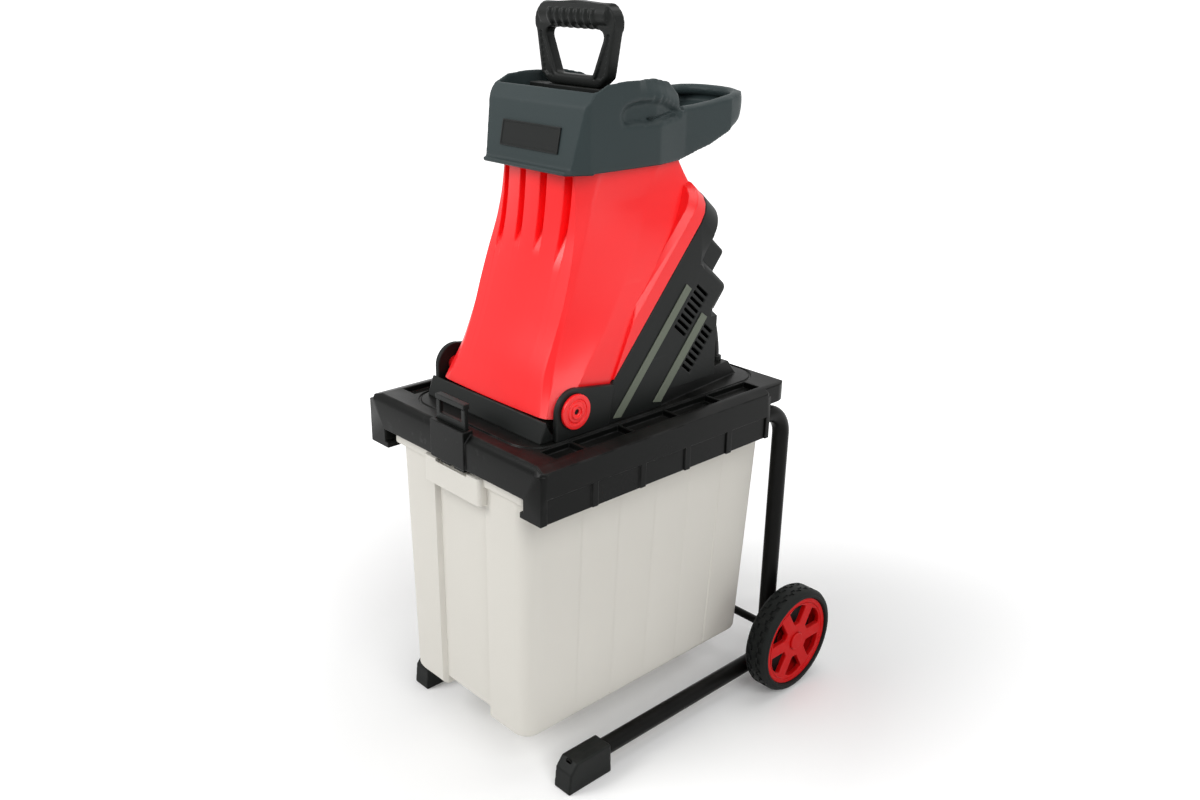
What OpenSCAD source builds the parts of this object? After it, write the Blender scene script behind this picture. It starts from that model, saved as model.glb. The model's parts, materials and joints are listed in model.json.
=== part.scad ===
// Garden shredder on two wheels and two feet.
// Frame: +Z up, +X to the right seen from the front, +Y to the rear.
// Origin: on the floor, midway between the front face and the back of the wheels.

/* [Overall] */
// Depth from the latch boss to the back of the wheels
overall_depth = 543; // [535:1:560]
// Height of the deck's top face above the floor
deck_top = 475; // [465:1:490]

/* [Deck] */
// Width over the side beams
deck_w = 348; // [344:1:360]
// Length from the front face to the rear end
deck_len = 463; // [460:1:470]
// Width of the narrower rear end
deck_rear_w = 328; // [320:1:334]
// Length of the side beams
beam_len = 411; // [405:1:415]
// Width of each side beam
beam_w = 32; // [31:1:34]
// Depth of the side beams below the top face
beam_drop = 70; // [66:1:72]
// Depth of the front skirt
skirt_drop = 45; // [42:1:48]
// Depth of the rear skirt
rear_drop = 27; // [22:1:28]
// Wall thickness of the deck
deck_wall = 4; // [3:0.5:4.5]
// Height of the pedestal under the rear of the housing
pedestal_h = 20; // [14:1:22]
// How far the latch boss stands out from the front face
boss_proud = 3; // [2:0.5:4]

/* [Collection box] */
// Play between the sliding rim and the side beam, on each side
box_play = 1.5; // [1:0.1:4]
// Height of the floor of the box above the ground
box_floor = 71; // [66:1:100]
// Wall thickness of the box
box_wall = 3; // [2.5:0.5:4]
// Width of the pull lip
lip_w = 114; // [100:1:124]

/* [Legs and wheels] */
// Outer diameter of the leg tube
tube_d = 24; // [22:0.5:24]
// Wall thickness of the leg tube
tube_wall = 1.5; // [1:0.1:2]
// Bend radius of the leg tube at its centre line
bend_r = 38; // [34:1:44]
// Height of the lower tube run above the floor
low_z = 31; // [28:1:34]
// Diameter of the axle
axle_d = 12; // [10:0.5:13]
// Diameter of the wheels
wheel_d = 160; // [150:1:168]
// Width of the tyres
tyre_w = 38; // [34:1:42]
// Diameter of the rims
rim_d = 134; // [128:1:138]
// Gap from the leg tube to the wheel
wheel_gap = 11.4; // [8:0.2:16]

/* [Housing] */
// Width of the housing over its side faces
housing_w = 236; // [232:1:240]
// Angle of the parting plane to the floor
plane_angle = 50; // [48:0.5:51]
// Radius of the hinge ears
ear_r = 28; // [26:1:29]
// Radius of the hinge pins
pin_r = 10; // [8:0.5:11]
// Thickness of the housing walls
wall = 4; // [3:0.5:4.5]

/* [Cutter and motor] */
// Diameter of the cutter disc
disc_d = 184; // [176:1:190]
// Thickness of the cutter disc
disc_t = 8; // [6:0.5:8]
// Module of the gear teeth
gear_m = 1.25; // [1.2:0.01:1.27]
// Radius of the stator core
stator_r = 44; // [42:0.5:44.5]

/* [Hopper and plunger] */
// Height of the hopper's lower edge above the deck
hopper_base = 305; // [302:1:310]
// Height of the hopper from its lower edge to its top
hopper_h = 103; // [96:1:108]
// Wall thickness of the hopper
hopper_wall = 4; // [3:0.5:5]
// Half width of the plunger handle at the grip
handle_half = 71; // [66:1:74]
// Half width of the plunger paddle
paddle_half = 50; // [44:1:54]
// Length of the plunger paddle
paddle_len = 245; // [220:1:250]

/* [Hidden] */
$fn = 48;
black = [0.07, 0.07, 0.07];
red = [0.86, 0.07, 0.07];
dark_red = [0.62, 0.05, 0.06];
charcoal = [0.2, 0.22, 0.23];
grey = [0.45, 0.47, 0.43];
white = [0.84, 0.83, 0.8];
steel = [0.62, 0.63, 0.65];
alloy = [0.7, 0.71, 0.72];
copper = [0.72, 0.42, 0.2];
brass_c = [0.78, 0.62, 0.3];
green_c = [0.1, 0.5, 0.2];

fit = 0.05;
press_gap = 0.02;
gap = 0.3;
eps = 1;

front_y = -overall_depth / 2;
deck_front = front_y + boss_proud;
deck_rear = deck_front + deck_len;
beam_rear = deck_front + beam_len;
beam_in = deck_w / 2 - beam_w;
box_rim_w = 2 * (beam_in - box_play);
beam_low = deck_top - beam_drop;
skirt_low = deck_top - skirt_drop;

inner_skin = 3.4;
leg_x = beam_in + inner_skin + 0.2 + tube_d / 2;
leg_y = overall_depth / 2 - wheel_d / 2;
run_z = deck_top - 43;
leg_start = beam_rear - 200;
axle_z = wheel_d / 2;
wheel_in = leg_x + tube_d / 2 + wheel_gap;
wheel_out = wheel_in + tyre_w;
foot_len = 76;
foot_front = deck_front + 49;
foot_h = 44;
foot_w = 30;

plane_y = deck_front + 164;
plane_z = deck_top + 51;
hinge_y = deck_front + 98;
hinge_z = deck_top + 34;
ear_in = housing_w / 2 - 3.4;
ear_out = housing_w / 2 + 4;
hinge_clear = 37.2;
chin_top = 25.4;
rim_low = 3;
rim_top = 281;
rim_corner = 46;
flange_t = 33;
chamber_half = housing_w / 2 - 14;
chamber_n = 28;
block_u = 205;
block_n = 106;
rear_y = deck_front + 355;
step_y = deck_front + 255;

lock_u = rim_top - 18;
spindle_u = 114.5;
gear_z = 48;
pinion_z = 12;
centre_dist = gear_m * (gear_z + pinion_z) / 2;
motor_u = spindle_u + centre_dist;
spindle_r = 7.5;
shaft_r = 5;
bearing_r = 17.5;
small_bearing_r = 15;
cover_r = stator_r + gap + wall;
cover_end = 160;

hopper_z = deck_top + hopper_base;
chute_top = hopper_z + 9.7;
plunger_y = deck_front + 210;
shoulder_z = hopper_z + 82;

latch_half = 29;
latch_t = 6;
latch_y = deck_front + deck_wall + gap;
latch_drop = 12;

box_front = deck_front + 9;
box_rear = deck_rear - 9;
rim_z0 = beam_low + 9;
rim_z1 = skirt_low - 0.5;

lead_x = 78;
lead_u = 180;
inlet_x = -85;
inlet_u = 185;
lead_land_y = deck_front + 405;

// A point of the side view given along (u) and behind (n) the parting plane.
function at(u, n) = [plane_y + u * cos(plane_angle) + n * sin(plane_angle),
                     plane_z + u * sin(plane_angle) - n * cos(plane_angle)];
// A point of the side view given from the deck's front face and top face.
function off(y, z) = [deck_front + y, deck_top + z];
// The distance along the plane at which a line behind it reaches a height.
function u_at(n, z) = (z - plane_z + n * cos(plane_angle)) / sin(plane_angle);

function arc(cx, cy, r, a0, a1, k) =
    [for (i = [0:k]) let (a = a0 + (a1 - a0) * i / k) [cx + r * cos(a), cy + r * sin(a)]];
// A four-cornered outline, counter-clockwise from the front left.
function outline(wf, wr, yf, yr, rf, rr, bulge = 0, k = 5) = concat(
    arc(-wf + rf, yf + rf, rf, 180, 270, k),
    [for (t = [-0.5, 0, 0.5]) [t * wf, yf - bulge * (1 - t * t)]],
    arc(wf - rf, yf + rf, rf, 270, 360, k),
    arc(wr - rr, yr - rr, rr, 0, 90, k),
    arc(-wr + rr, yr - rr, rr, 90, 180, k));
function raise(points, z) = [for (p = points) [p[0], p[1], z]];

// A solid through a stack of outlines that all have the same number of points.
module loft(rings) {
    n = len(rings[0]);
    m = len(rings);
    points = [for (r = rings) each r];
    sides = [for (i = [0:m - 2], j = [0:n - 1]) let (a = i * n + j, b = i * n + (j + 1) % n)
             each [[a, a + n, b + n], [a, b + n, b]]];
    low = [for (j = [0:n - 1]) j];
    high = [for (j = [n - 1:-1:0]) (m - 1) * n + j];
    polyhedron(points, concat(sides, [low], [high]), convexity = 6);
}

// A side-view outline made into a solid of the given width about x = 0.
module across(width) {
    rotate([90, 0, 90]) translate([0, 0, -width / 2]) linear_extrude(width, convexity = 6) children();
}

// Children drawn in the frame of the parting plane: y along it, z away from the motor.
module incline() {
    translate([0, plane_y, plane_z]) rotate([plane_angle, 0, 0]) children();
}

// A cylinder behind the parting plane from depth a to depth b.
module pot(u, a, b, r, x = 0) {
    translate([x, u, -b]) cylinder(h = b - a, r = r);
}

// A ring behind the parting plane.
module pot_ring(u, a, b, r, bore, x = 0) {
    difference() {
        pot(u, a, b, r, x);
        pot(u, a - eps, b + eps, bore, x);
    }
}

module x_rod(y, z, x0, x1, r) {
    translate([x0, y, z]) rotate([0, 90, 0]) cylinder(h = x1 - x0, r = r);
}

module block(x0, x1, y0, y1, z0, z1) {
    translate([x0, y0, z0]) cube([x1 - x0, y1 - y0, z1 - z0]);
}

// A plate outline with round corners, front radius r0 and rear radius r1.
module round_plate(w, y0, y1, r0, r1) {
    translate([-w / 2, y0 + r0]) square([w, y1 - r1 - y0 - r0]);
    translate([-w / 2 + r0, y0]) square([w - 2 * r0, r0]);
    translate([-w / 2 + r1, y1 - r1]) square([w - 2 * r1, r1]);
    for (s = [-1, 1]) {
        translate([s * (w / 2 - r0), y0 + r0]) circle(r0);
        translate([s * (w / 2 - r1), y1 - r1]) circle(r1);
    }
}

module both_sides() {
    children();
    mirror([1, 0, 0]) children();
}

deck_roof = 16;
rail_w = 6;
rail_t = 8;
boss_half = latch_half + 5;
drop_half = 80;
guide_wall = 3;
roof_half = 122;
trough_x0 = 128;
trough_x1 = 154;
trough_deep = 8;
bays = 5;
web = 4;
bay_len = (beam_len - 8 - deck_wall - (bays - 1) * web) / bays;
side_slope = 16;
side_fall = 5;
edge_fall = 9;
leg_screw_y = [leg_start + 30, leg_start + 150];
screw_r = 2;
head_r = 4.2;
head_h = 3;
housing_screw_y = [step_y + 18, rear_y - 16];
housing_screw_x = 70;

module deck_solid() {
    translate([0, 0, skirt_low]) linear_extrude(skirt_drop)
        round_plate(deck_w, deck_front, beam_rear, 12, 8);
    translate([0, 0, deck_top - rear_drop]) linear_extrude(rear_drop)
        round_plate(deck_rear_w, beam_rear - 60, deck_rear, 4, 24);
    both_sides() {
        block(beam_in, deck_w / 2, deck_front, beam_rear, beam_low, deck_top - edge_fall);
        block(beam_in - rail_w, beam_in + 1, deck_front, beam_rear, beam_low, beam_low + rail_t);
    }
}

module deck_bevels() {
    both_sides() rotate([90, 0, 0]) translate([0, 0, -deck_rear - eps]) linear_extrude(deck_len + 2 * eps)
        polygon([[deck_w / 2 - side_slope, deck_top + 0.01], [deck_w / 2 + eps, deck_top + 0.01],
                 [deck_w / 2 + eps, deck_top - side_fall]]);
    across(deck_w + 2 * eps) {
        polygon([off(-eps, -edge_fall - eps), off(edge_fall + eps, eps), off(-eps, eps)]);
        polygon([off(deck_len + eps, -edge_fall - eps), off(deck_len + eps, eps),
                 off(deck_len - edge_fall - eps, eps)]);
    }
}

module pedestal(inset, z0, z1) {
    half = housing_w / 2 - 2 - inset;
    back = deck_rear - 32 - inset;
    front = step_y + inset;
    top = half - 3;
    top_back = back - 16;
    loft([raise([[-half, front], [half, front], [half - 22, back], [22 - half, back]], z0),
          raise([[-top, front], [top, front], [top - 21, top_back], [21 - top, top_back]], z1)]);
}

module deck() color(black) difference() {
    union() {
        difference() {
            deck_solid();
            deck_bevels();
            block(-roof_half, roof_half, deck_front + deck_wall, deck_rear - deck_wall,
                  beam_low - eps, deck_top - edge_fall - deck_wall);
            block(-roof_half, roof_half, deck_front + edge_fall + deck_wall,
                  deck_rear - edge_fall - deck_wall, beam_low - eps, deck_top - deck_wall);
            block(-beam_in, beam_in, deck_front + deck_wall, deck_rear - 2 * deck_wall,
                  beam_low + rail_t, deck_top - deck_roof);
            block(-beam_in + rail_w, beam_in - rail_w, deck_front - eps, deck_rear, beam_low - eps,
                  skirt_low);
            block(-beam_in, beam_in, deck_front - eps, deck_front + deck_wall + eps, beam_low + rail_t,
                  skirt_low);
            both_sides() {
                for (i = [0:bays - 1]) {
                    y0 = deck_front + 8 + i * (bay_len + web);
                    block(beam_in + inner_skin, leg_x + tube_d / 2 + 0.2, y0, y0 + bay_len,
                          beam_low - eps, deck_top - deck_roof);
                    block(deck_w / 2 - 2.8, deck_w / 2 + eps, y0 + 3, y0 + bay_len - 3, beam_low - eps,
                          beam_low + beam_drop * 0.45);
                    block(trough_x0, trough_x1, y0 + 32 * (i == 0 ? 1 : 0), y0 + bay_len,
                          deck_top - trough_deep, deck_top + eps);
                }
                translate([leg_x, leg_start - 2, run_z]) rotate([-90, 0, 0])
                    cylinder(h = beam_rear - leg_start + 4, r = tube_d / 2 + 0.2);
                for (y = leg_screw_y)
                    translate([leg_x, y, deck_top - deck_roof - eps]) cylinder(h = 8, r = screw_r + fit);
            }
            translate([0, 0, deck_top - 2]) linear_extrude(3) difference() {
                round_plate(2 * trough_x0 - 4, deck_front + 26, deck_rear - 12, 40, 40);
                round_plate(2 * trough_x0 - 10, deck_front + 29, deck_rear - 15, 38, 38);
            }
        }
        difference() {
            block(-boss_half, boss_half, front_y, deck_front + 13, skirt_low, deck_top + 5);
            block(-boss_half + guide_wall, boss_half - guide_wall, latch_y + latch_t + gap + deck_wall,
                  deck_front + 14, skirt_low - eps, deck_top - deck_wall);
        }
        difference() {
            pedestal(0, deck_top - 2, deck_top + pedestal_h);
            pedestal(wall, deck_top - deck_wall - eps, deck_top + pedestal_h - wall);
        }
    }
    pedestal(wall, deck_top - deck_wall - eps, deck_top);
    block(-latch_half - gap, latch_half + gap, latch_y - gap, latch_y + latch_t + gap, beam_low,
          deck_top + 6);
    block(-drop_half, drop_half, deck_front + 66, deck_front + 152, deck_top - deck_roof, deck_top + eps);
    for (s = [-1, 1], y = housing_screw_y)
        translate([s * housing_screw_x, y, deck_top]) cylinder(h = pedestal_h + eps, r = screw_r + 0.4);
    translate([lead_x, lead_land_y, deck_top]) cylinder(h = pedestal_h + eps, r = 5);
}

module leg_path(r, over) {
    cy = leg_y - bend_r;
    translate([leg_x, leg_start - over, run_z]) rotate([-90, 0, 0])
        cylinder(h = cy - leg_start + over, r = r);
    translate([leg_x, cy, run_z - bend_r]) rotate([90, 0, 90])
        rotate_extrude(angle = 90) translate([bend_r, 0]) circle(r);
    translate([leg_x, leg_y, low_z + bend_r]) cylinder(h = run_z - low_z - 2 * bend_r, r = r);
    translate([leg_x, cy, low_z + bend_r]) rotate([90, 0, 90]) rotate([0, 0, -90])
        rotate_extrude(angle = 90) translate([bend_r, 0]) circle(r);
    translate([leg_x, foot_front + 12 - over, low_z]) rotate([-90, 0, 0])
        cylinder(h = cy - foot_front - 12 + over, r = r);
}

module right_leg() color(black) difference() {
    leg_path(tube_d / 2, 0);
    leg_path(tube_d / 2 - tube_wall, eps);
    x_rod(leg_y, axle_z, leg_x - tube_d, leg_x + tube_d, axle_d / 2 + fit);
    for (y = leg_screw_y)
        translate([leg_x, y, run_z - tube_d]) cylinder(h = 2 * tube_d, r = screw_r + 0.3);
}

module left_leg() mirror([1, 0, 0]) right_leg();

module right_foot() color(black) difference() {
    translate([leg_x, 0, 0]) across(foot_w)
        polygon([[foot_front, 0], [foot_front + foot_len, 0], [foot_front + foot_len - 2, foot_h],
                 [foot_front + 14, foot_h], [foot_front + 3, foot_h - 14]]);
    translate([leg_x, foot_front + 11.7, low_z]) rotate([-90, 0, 0])
        cylinder(h = foot_len, r = tube_d / 2 + fit);
}

module left_foot() mirror([1, 0, 0]) right_foot();

module leg_screws() color(steel) both_sides() for (y = leg_screw_y)
    translate([leg_x, y, run_z - tube_d / 2]) {
        translate([0, 0, -1]) cylinder(h = deck_top - deck_roof + 7 - run_z + tube_d / 2, r = screw_r);
        translate([0, 0, -0.4 - head_h]) cylinder(h = head_h, r = head_r);
    }

cap_in = 6;
cap_lip = 7;

module axle() color(steel) x_rod(leg_y, axle_z, -wheel_out + cap_in, wheel_out - cap_in, axle_d / 2);

module axle_spacers() color(black) both_sides() difference() {
    x_rod(leg_y, axle_z, leg_x + tube_d / 2 + 0.1, wheel_in - gap, axle_d / 2 + 4);
    x_rod(leg_y, axle_z, leg_x, wheel_in, axle_d / 2 + fit);
}

module axle_caps() color(dark_red) both_sides()
    x_rod(leg_y, axle_z, wheel_out - cap_in, wheel_out - 1.5, axle_d / 2 + cap_lip);

module right_tyre() color(black) translate([wheel_in, leg_y, axle_z]) rotate([0, 90, 0]) rotate_extrude()
    polygon([[rim_d / 2 + fit, 2], [rim_d / 2 + 4, 0], [wheel_d / 2 - 5, 1], [wheel_d / 2, 6],
             [wheel_d / 2, tyre_w - 6], [wheel_d / 2 - 5, tyre_w - 1], [rim_d / 2 + 4, tyre_w],
             [rim_d / 2 + fit, tyre_w - 2]]);

module left_tyre() mirror([1, 0, 0]) right_tyre();

spokes = 6;
face_t = 8;

rim_band = 7;
rim_edge_in = 3;
hub_r = 16;
window_r = 27;
rim_window = [[window_r, -5], [rim_d / 2 - 16, -19], [rim_d / 2 - 11, -10], [rim_d / 2 - 9.5, 0],
              [rim_d / 2 - 11, 10], [rim_d / 2 - 16, 19], [window_r, 5]];

module right_rim() color(dark_red) translate([wheel_in, leg_y, axle_z]) rotate([0, 90, 0]) difference() {
    union() {
        rotate_extrude() translate([rim_d / 2 - rim_band, rim_edge_in])
            square([rim_band, tyre_w - 2 * rim_edge_in]);
        translate([0, 0, tyre_w - 4 - face_t]) cylinder(h = face_t, r = rim_d / 2 - 1);
        cylinder(h = tyre_w - cap_in - 1, r = hub_r);
    }
    translate([0, 0, -eps]) cylinder(h = tyre_w + 2 * eps, r = axle_d / 2 + 0.08);
    translate([0, 0, tyre_w - cap_in - 1]) cylinder(h = cap_in + 1 + eps, r = axle_d / 2 + cap_lip + gap);
    for (i = [0:spokes - 1]) rotate([0, 0, i * 360 / spokes]) translate([0, 0, tyre_w - 5 - face_t])
        linear_extrude(face_t + 2) polygon(rim_window);
}

module left_rim() mirror([1, 0, 0]) right_rim();

panels = 6;
groove_deep = 1.4;
groove_half = 3;
box_lip = 7.5;
box_taper = 9;
box_corner = 24;
box_corner_rear = 14;
recess_deep = 7;
arch_h = 14;
arch_deep = 24;
recess_half = lip_w / 2 - 4;
// Rounding of the box's lower edge: height above the floor and how far it lies inwards.
box_steps = [[0, 8], [2.5, 3], [8, 0]];

// The box outline at a share t of the height, 0 at the foot of the walls and 1 at the rim.
function box_half(t, inset) = box_rim_w / 2 - box_lip - inset - box_taper * (1 - t);
function box_y0(t, inset) = box_front + 7 - 2 * t + inset;
function box_y1(t, inset) = box_rear - 21 + 16 * t - inset;
function box_ring(t, inset) = let (h = box_half(t, inset), y0 = box_y0(t, inset), y1 = box_y1(t, inset),
    rf = box_corner - inset, rr = box_corner_rear - inset) concat(
    arc(-h + rf, y0 + rf, rf, 180, 270, 6), arc(h - rf, y0 + rf, rf, 270, 360, 6),
    arc(h - rr, y1 - rr, rr, 0, 90, 5), arc(-h + rr, y1 - rr, rr, 90, 180, 5));

module box_body(inset, floor_z, top_z) loft(concat(
    [for (b = box_steps) raise(box_ring(0, inset + b[1]), floor_z + b[0])],
    [raise(box_ring(1, inset), top_z)]));

// A shallow upright groove between two panels of the side.
function groove_ring(i, t) = let (h = box_half(t, 0), a = box_y0(t, 0) + box_corner,
    y = a + (box_y1(t, 0) - box_corner_rear - a) * i / panels)
    [[h + 1, y - groove_half], [h + 1, y + groove_half], [h - groove_deep, y]];

// The shallow front panel below the pull lip, with its foot raised in an arch.
function recess_ring(t, grow) = let (y = box_y0(t, 0), a = recess_half + grow)
    [[-a - 2, y - 6], [a + 2, y - 6], [a - 3, y + recess_deep + grow], [3 - a, y + recess_deep + grow]];

module box_recess(grow, top) {
    y = box_y0(0, 0);
    loft([raise(recess_ring(0, grow), box_floor - 1), raise(recess_ring(1, grow), top)]);
    across(2 * (recess_half + grow - 3)) polygon([
        [y - 6, box_floor - 1], [y + recess_deep + arch_deep + grow, box_floor - 1],
        [y + recess_deep + grow, box_floor + arch_h + grow], [y - 6, box_floor + arch_h + grow]]);
}

module pull_lip() difference() {
    translate([0, 0, rim_z0 - 26]) linear_extrude(36)
        round_plate(lip_w, deck_front + 2, box_front + 14, 6, 3);
    block(-recess_half, recess_half, deck_front + 5, box_front + 9.9, rim_z0 - 30, rim_z0 + 2);
}

module collection_box() color(white) difference() {
    union() {
        difference() {
            box_body(0, box_floor, rim_z0 + 2);
            box_recess(0, rim_z0 + 1);
        }
        translate([0, 0, rim_z0]) linear_extrude(rim_z1 - rim_z0)
            round_plate(box_rim_w, box_front, box_rear, 16, box_corner_rear);
        pull_lip();
    }
    difference() {
        box_body(box_wall, box_floor + box_wall, rim_z0 + 2.1);
        box_recess(box_wall, rim_z0 + 1);
    }
    translate([0, 0, rim_z0 + 2]) linear_extrude(rim_z1)
        round_plate(box_rim_w - 2 * (box_lip + box_wall), box_front + 5 + box_wall, box_rear - 5 - box_wall,
                    box_corner - box_wall, box_corner_rear - box_wall);
    both_sides() for (i = [1:panels - 1])
        loft([raise(groove_ring(i, 0), box_floor + 8), raise(groove_ring(i, 1), rim_z0 - 0.1)]);
    block(-latch_half - 3, latch_half + 3, deck_front - eps, box_front + 14, rim_z0 + 6.5, rim_z1 + eps);
    block(-latch_half - 1, latch_half + 1, latch_y - 0.8, latch_y + latch_t + 0.8, rim_z0 - 4, rim_z1 + eps);
}

loop_h = 38;
loop_bar = 7;
tongue_w = 20;

module box_latch() color(black) difference() {
    union() {
        block(-latch_half, latch_half, latch_y, latch_y + latch_t, skirt_low + 6, deck_top + loop_h);
        for (s = [-1, 1]) translate([s * 14, 0, 0])
            block(-tongue_w / 2, tongue_w / 2, latch_y, latch_y + latch_t, rim_z0 + 8, skirt_low + 7);
        block(-latch_half, latch_half, latch_y - 1.2, latch_y + latch_t + 2, deck_top + loop_h - loop_bar,
              deck_top + loop_h);
    }
    block(-latch_half + loop_bar, latch_half - loop_bar, latch_y - 3, latch_y + latch_t + 3,
          deck_top + latch_drop + 2, deck_top + loop_h - loop_bar);
}

housing_outer = [off(50.5, 0), off(59.8, chin_top), at(u_at(0, deck_top + chin_top), 0), at(rim_top, 0),
                 at(rim_top, flange_t), at(block_u, flange_t), at(block_u, block_n),
                 at(block_u - 40, block_n),
                 [rear_y, deck_top + 103], [rear_y, deck_top + pedestal_h], [step_y, deck_top + pedestal_h],
                 [step_y, deck_top]];
chip_space = [off(60, -5), off(70.5, 28), off(70.5, 66), at(rim_top - 6, -20), at(rim_top - 6, chamber_n),
              at(u_at(chamber_n, deck_top - 5), chamber_n)];
motor_space = [at(u_at(flange_t, deck_top + wall), flange_t), [step_y - wall, deck_top + wall],
               [step_y - wall, deck_top + pedestal_h + wall], [rear_y - wall, deck_top + pedestal_h + wall],
               [rear_y - wall, deck_top + 101], at(block_u - 38, block_n - wall),
               at(block_u - wall, block_n - wall), at(block_u - wall, flange_t)];
ear_side = [[hinge_y - ear_r, deck_top], [hinge_y - ear_r, hinge_z], [hinge_y, hinge_z + ear_r],
            at(rim_low - 1, 1), [plane_y - 8, deck_top]];
vent_w = 4;
upper_vents = 8;
lower_vents = 8;
vent_pitch = 8.6;

module lower_housing() color(black) difference() {
    union() {
        difference() {
            intersection() {
                across(housing_w) polygon(housing_outer);
                incline() translate([0, 0, -300]) linear_extrude(400)
                    round_plate(housing_w, -300, rim_top, 4, rim_corner);
            }
            intersection() {
                across(2 * chamber_half) polygon(chip_space);
                incline() translate([0, 0, -300]) linear_extrude(400)
                    round_plate(2 * chamber_half, -300, rim_top - 6, 4, rim_corner - 6);
            }
            across(housing_w - 2 * wall) polygon(motor_space);
            both_sides() block(ear_in - 1, housing_w, deck_front, hinge_y - ear_r, deck_top - eps, hinge_z);
            incline() {
                for (i = [0:upper_vents - 1]) translate([-housing_w, 110 + i * vent_pitch, -77])
                    cube([2 * housing_w, vent_w, 27]);
                for (i = [0:lower_vents - 1]) translate([-housing_w, 78 + i * vent_pitch, -120])
                    cube([2 * housing_w, vent_w, 20]);
                pot(motor_u, 90, 220, cover_r + gap);
                pot(spindle_u, chamber_n - eps, flange_t + eps, 24.3);
                translate([inlet_x, inlet_u, -block_n - eps]) cylinder(h = 8, r = 11);
            }
        }
        both_sides() difference() {
            union() {
                translate([(ear_in + ear_out) / 2, 0, 0]) across(ear_out - ear_in) polygon(ear_side);
                x_rod(hinge_y, hinge_z, ear_in, ear_out, ear_r);
            }
            across(4 * housing_w) polygon([at(rim_low - 1, 0), at(60, 0), at(60, -90)]);
        }
        incline() pot(lock_u, 6, chamber_n + eps, 9);
        for (s = [-1, 1], y = housing_screw_y)
            translate([s * housing_screw_x, y, deck_top + pedestal_h]) cylinder(h = 20, r = 6);
    }
    x_rod(hinge_y, hinge_z, -ear_in, ear_in, hinge_clear);
    x_rod(hinge_y, hinge_z, -housing_w, housing_w, pin_r + 0.1);
    incline() pot(lock_u, 0, flange_t + eps, 4.6);
    incline() translate([lead_x, lead_u, -block_n - eps]) cylinder(h = 8, r = 5);
    for (s = [-1, 1], y = housing_screw_y)
        translate([s * housing_screw_x, y, deck_top + pedestal_h - eps]) cylinder(h = 18, r = screw_r + fit);
}

trim_t = 1.6;
trim_gap = 0.05;

module side_trims() color(grey) both_sides() {
    translate([housing_w / 2 + trim_gap + trim_t / 2, 0, 0]) across(trim_t) {
        polygon([at(u_at(30, deck_top + 6), 30), at(u_at(42, deck_top + 4), 42), at(163, 42), at(163, 30)]);
        polygon([at(u_at(82, deck_top + 10), 82), at(u_at(95, deck_top + 7), 95), at(151, 95), at(150, 82)]);
    }
}

module housing_screws() color(steel) for (s = [-1, 1], y = housing_screw_y)
    translate([s * housing_screw_x, y, deck_top + pedestal_h - wall]) {
        cylinder(h = wall + 16, r = screw_r);
        translate([0, 0, -head_h]) cylinder(h = head_h, r = head_r);
    }

module motor_cover() color(black) incline() difference() {
    union() {
        pot_ring(motor_u, 100, cover_end, cover_r, stator_r + gap);
        pot(motor_u, cover_end - wall, cover_end, cover_r);
        pot_ring(motor_u, 150.5, cover_end - wall + eps, 15, 11 + fit);
    }
    for (i = [-3:3]) if (i != 0) translate([i * 9 - 2, motor_u - 30 + abs(i) * 4, -cover_end - eps])
        cube([4, 60 - abs(i) * 8, wall + eps + 0.5]);
}

box_x0 = 28;
box_x1 = 104;
box_n = 82;
box_u = 241;
button_w = 15;
button_l = 22;
button_t = 11;
start_x = 86;
stop_x = 64;
reset_x = 42;
button_u = 223;
press = 3;

module switch_box() color(black) incline() difference() {
    translate([box_x0, block_u, -box_n]) cube([box_x1 - box_x0, box_u - block_u, box_n - flange_t]);
    translate([box_x0 + wall, block_u - eps, -box_n + 16])
        cube([box_x1 - box_x0 - 2 * wall, box_u - block_u - wall + eps, box_n - flange_t - 16 - wall]);
    for (x = [start_x, stop_x])
        translate([x - button_w / 2 - 0.4, button_u - button_l / 2 - 0.4, -box_n - eps])
            cube([button_w + 0.8, button_l + 0.8, button_t + 0.5 + eps]);
    translate([reset_x, button_u, -box_n - eps]) cylinder(h = button_t + 0.5 + eps, r = 5.4);
}

module push_button(x) {
    translate([x - button_w / 2, button_u - button_l / 2, -box_n - press - 0.5])
        cube([button_w, button_l, button_t]);
}

module start_button() color(green_c) incline() push_button(start_x);
module stop_button() color(red) incline() push_button(stop_x);
module reset_button() color(black) incline() translate([reset_x, button_u, -box_n - press - 0.5])
    cylinder(h = button_t, r = 5);

inlet_pin_r = 2;
inlet_pin_at = [90, 210, 330];

module mains_inlet() color(black) incline() difference() {
    union() {
        pot(inlet_u, block_n, block_n + 22, 17, inlet_x);
        pot(inlet_u, block_n - 6, block_n + eps, 10.7, inlet_x);
    }
    pot(inlet_u, block_n + 3, block_n + 22 + eps, 14, inlet_x);
    for (a = inlet_pin_at)
        pot(inlet_u + 6 * sin(a), block_n - 2, block_n + 4, inlet_pin_r, inlet_x + 6 * cos(a));
}

module inlet_pins() color(brass_c) incline() for (a = inlet_pin_at)
    pot(inlet_u + 6 * sin(a), block_n - 2, block_n + 18, inlet_pin_r - 0.02, inlet_x + 6 * cos(a));

lead_r = 3.5;
lead_points = [at(lead_u, block_n - 3), at(lead_u, block_n + 14), at(lead_u - 4, block_n + 34),
               [lead_land_y - 9, deck_top + 74], [lead_land_y - 3, deck_top + 52],
               [lead_land_y, deck_top + 32], [lead_land_y, deck_top + pedestal_h - 8]];
lead_steps = 4;
lead_sides = 10;

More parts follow.
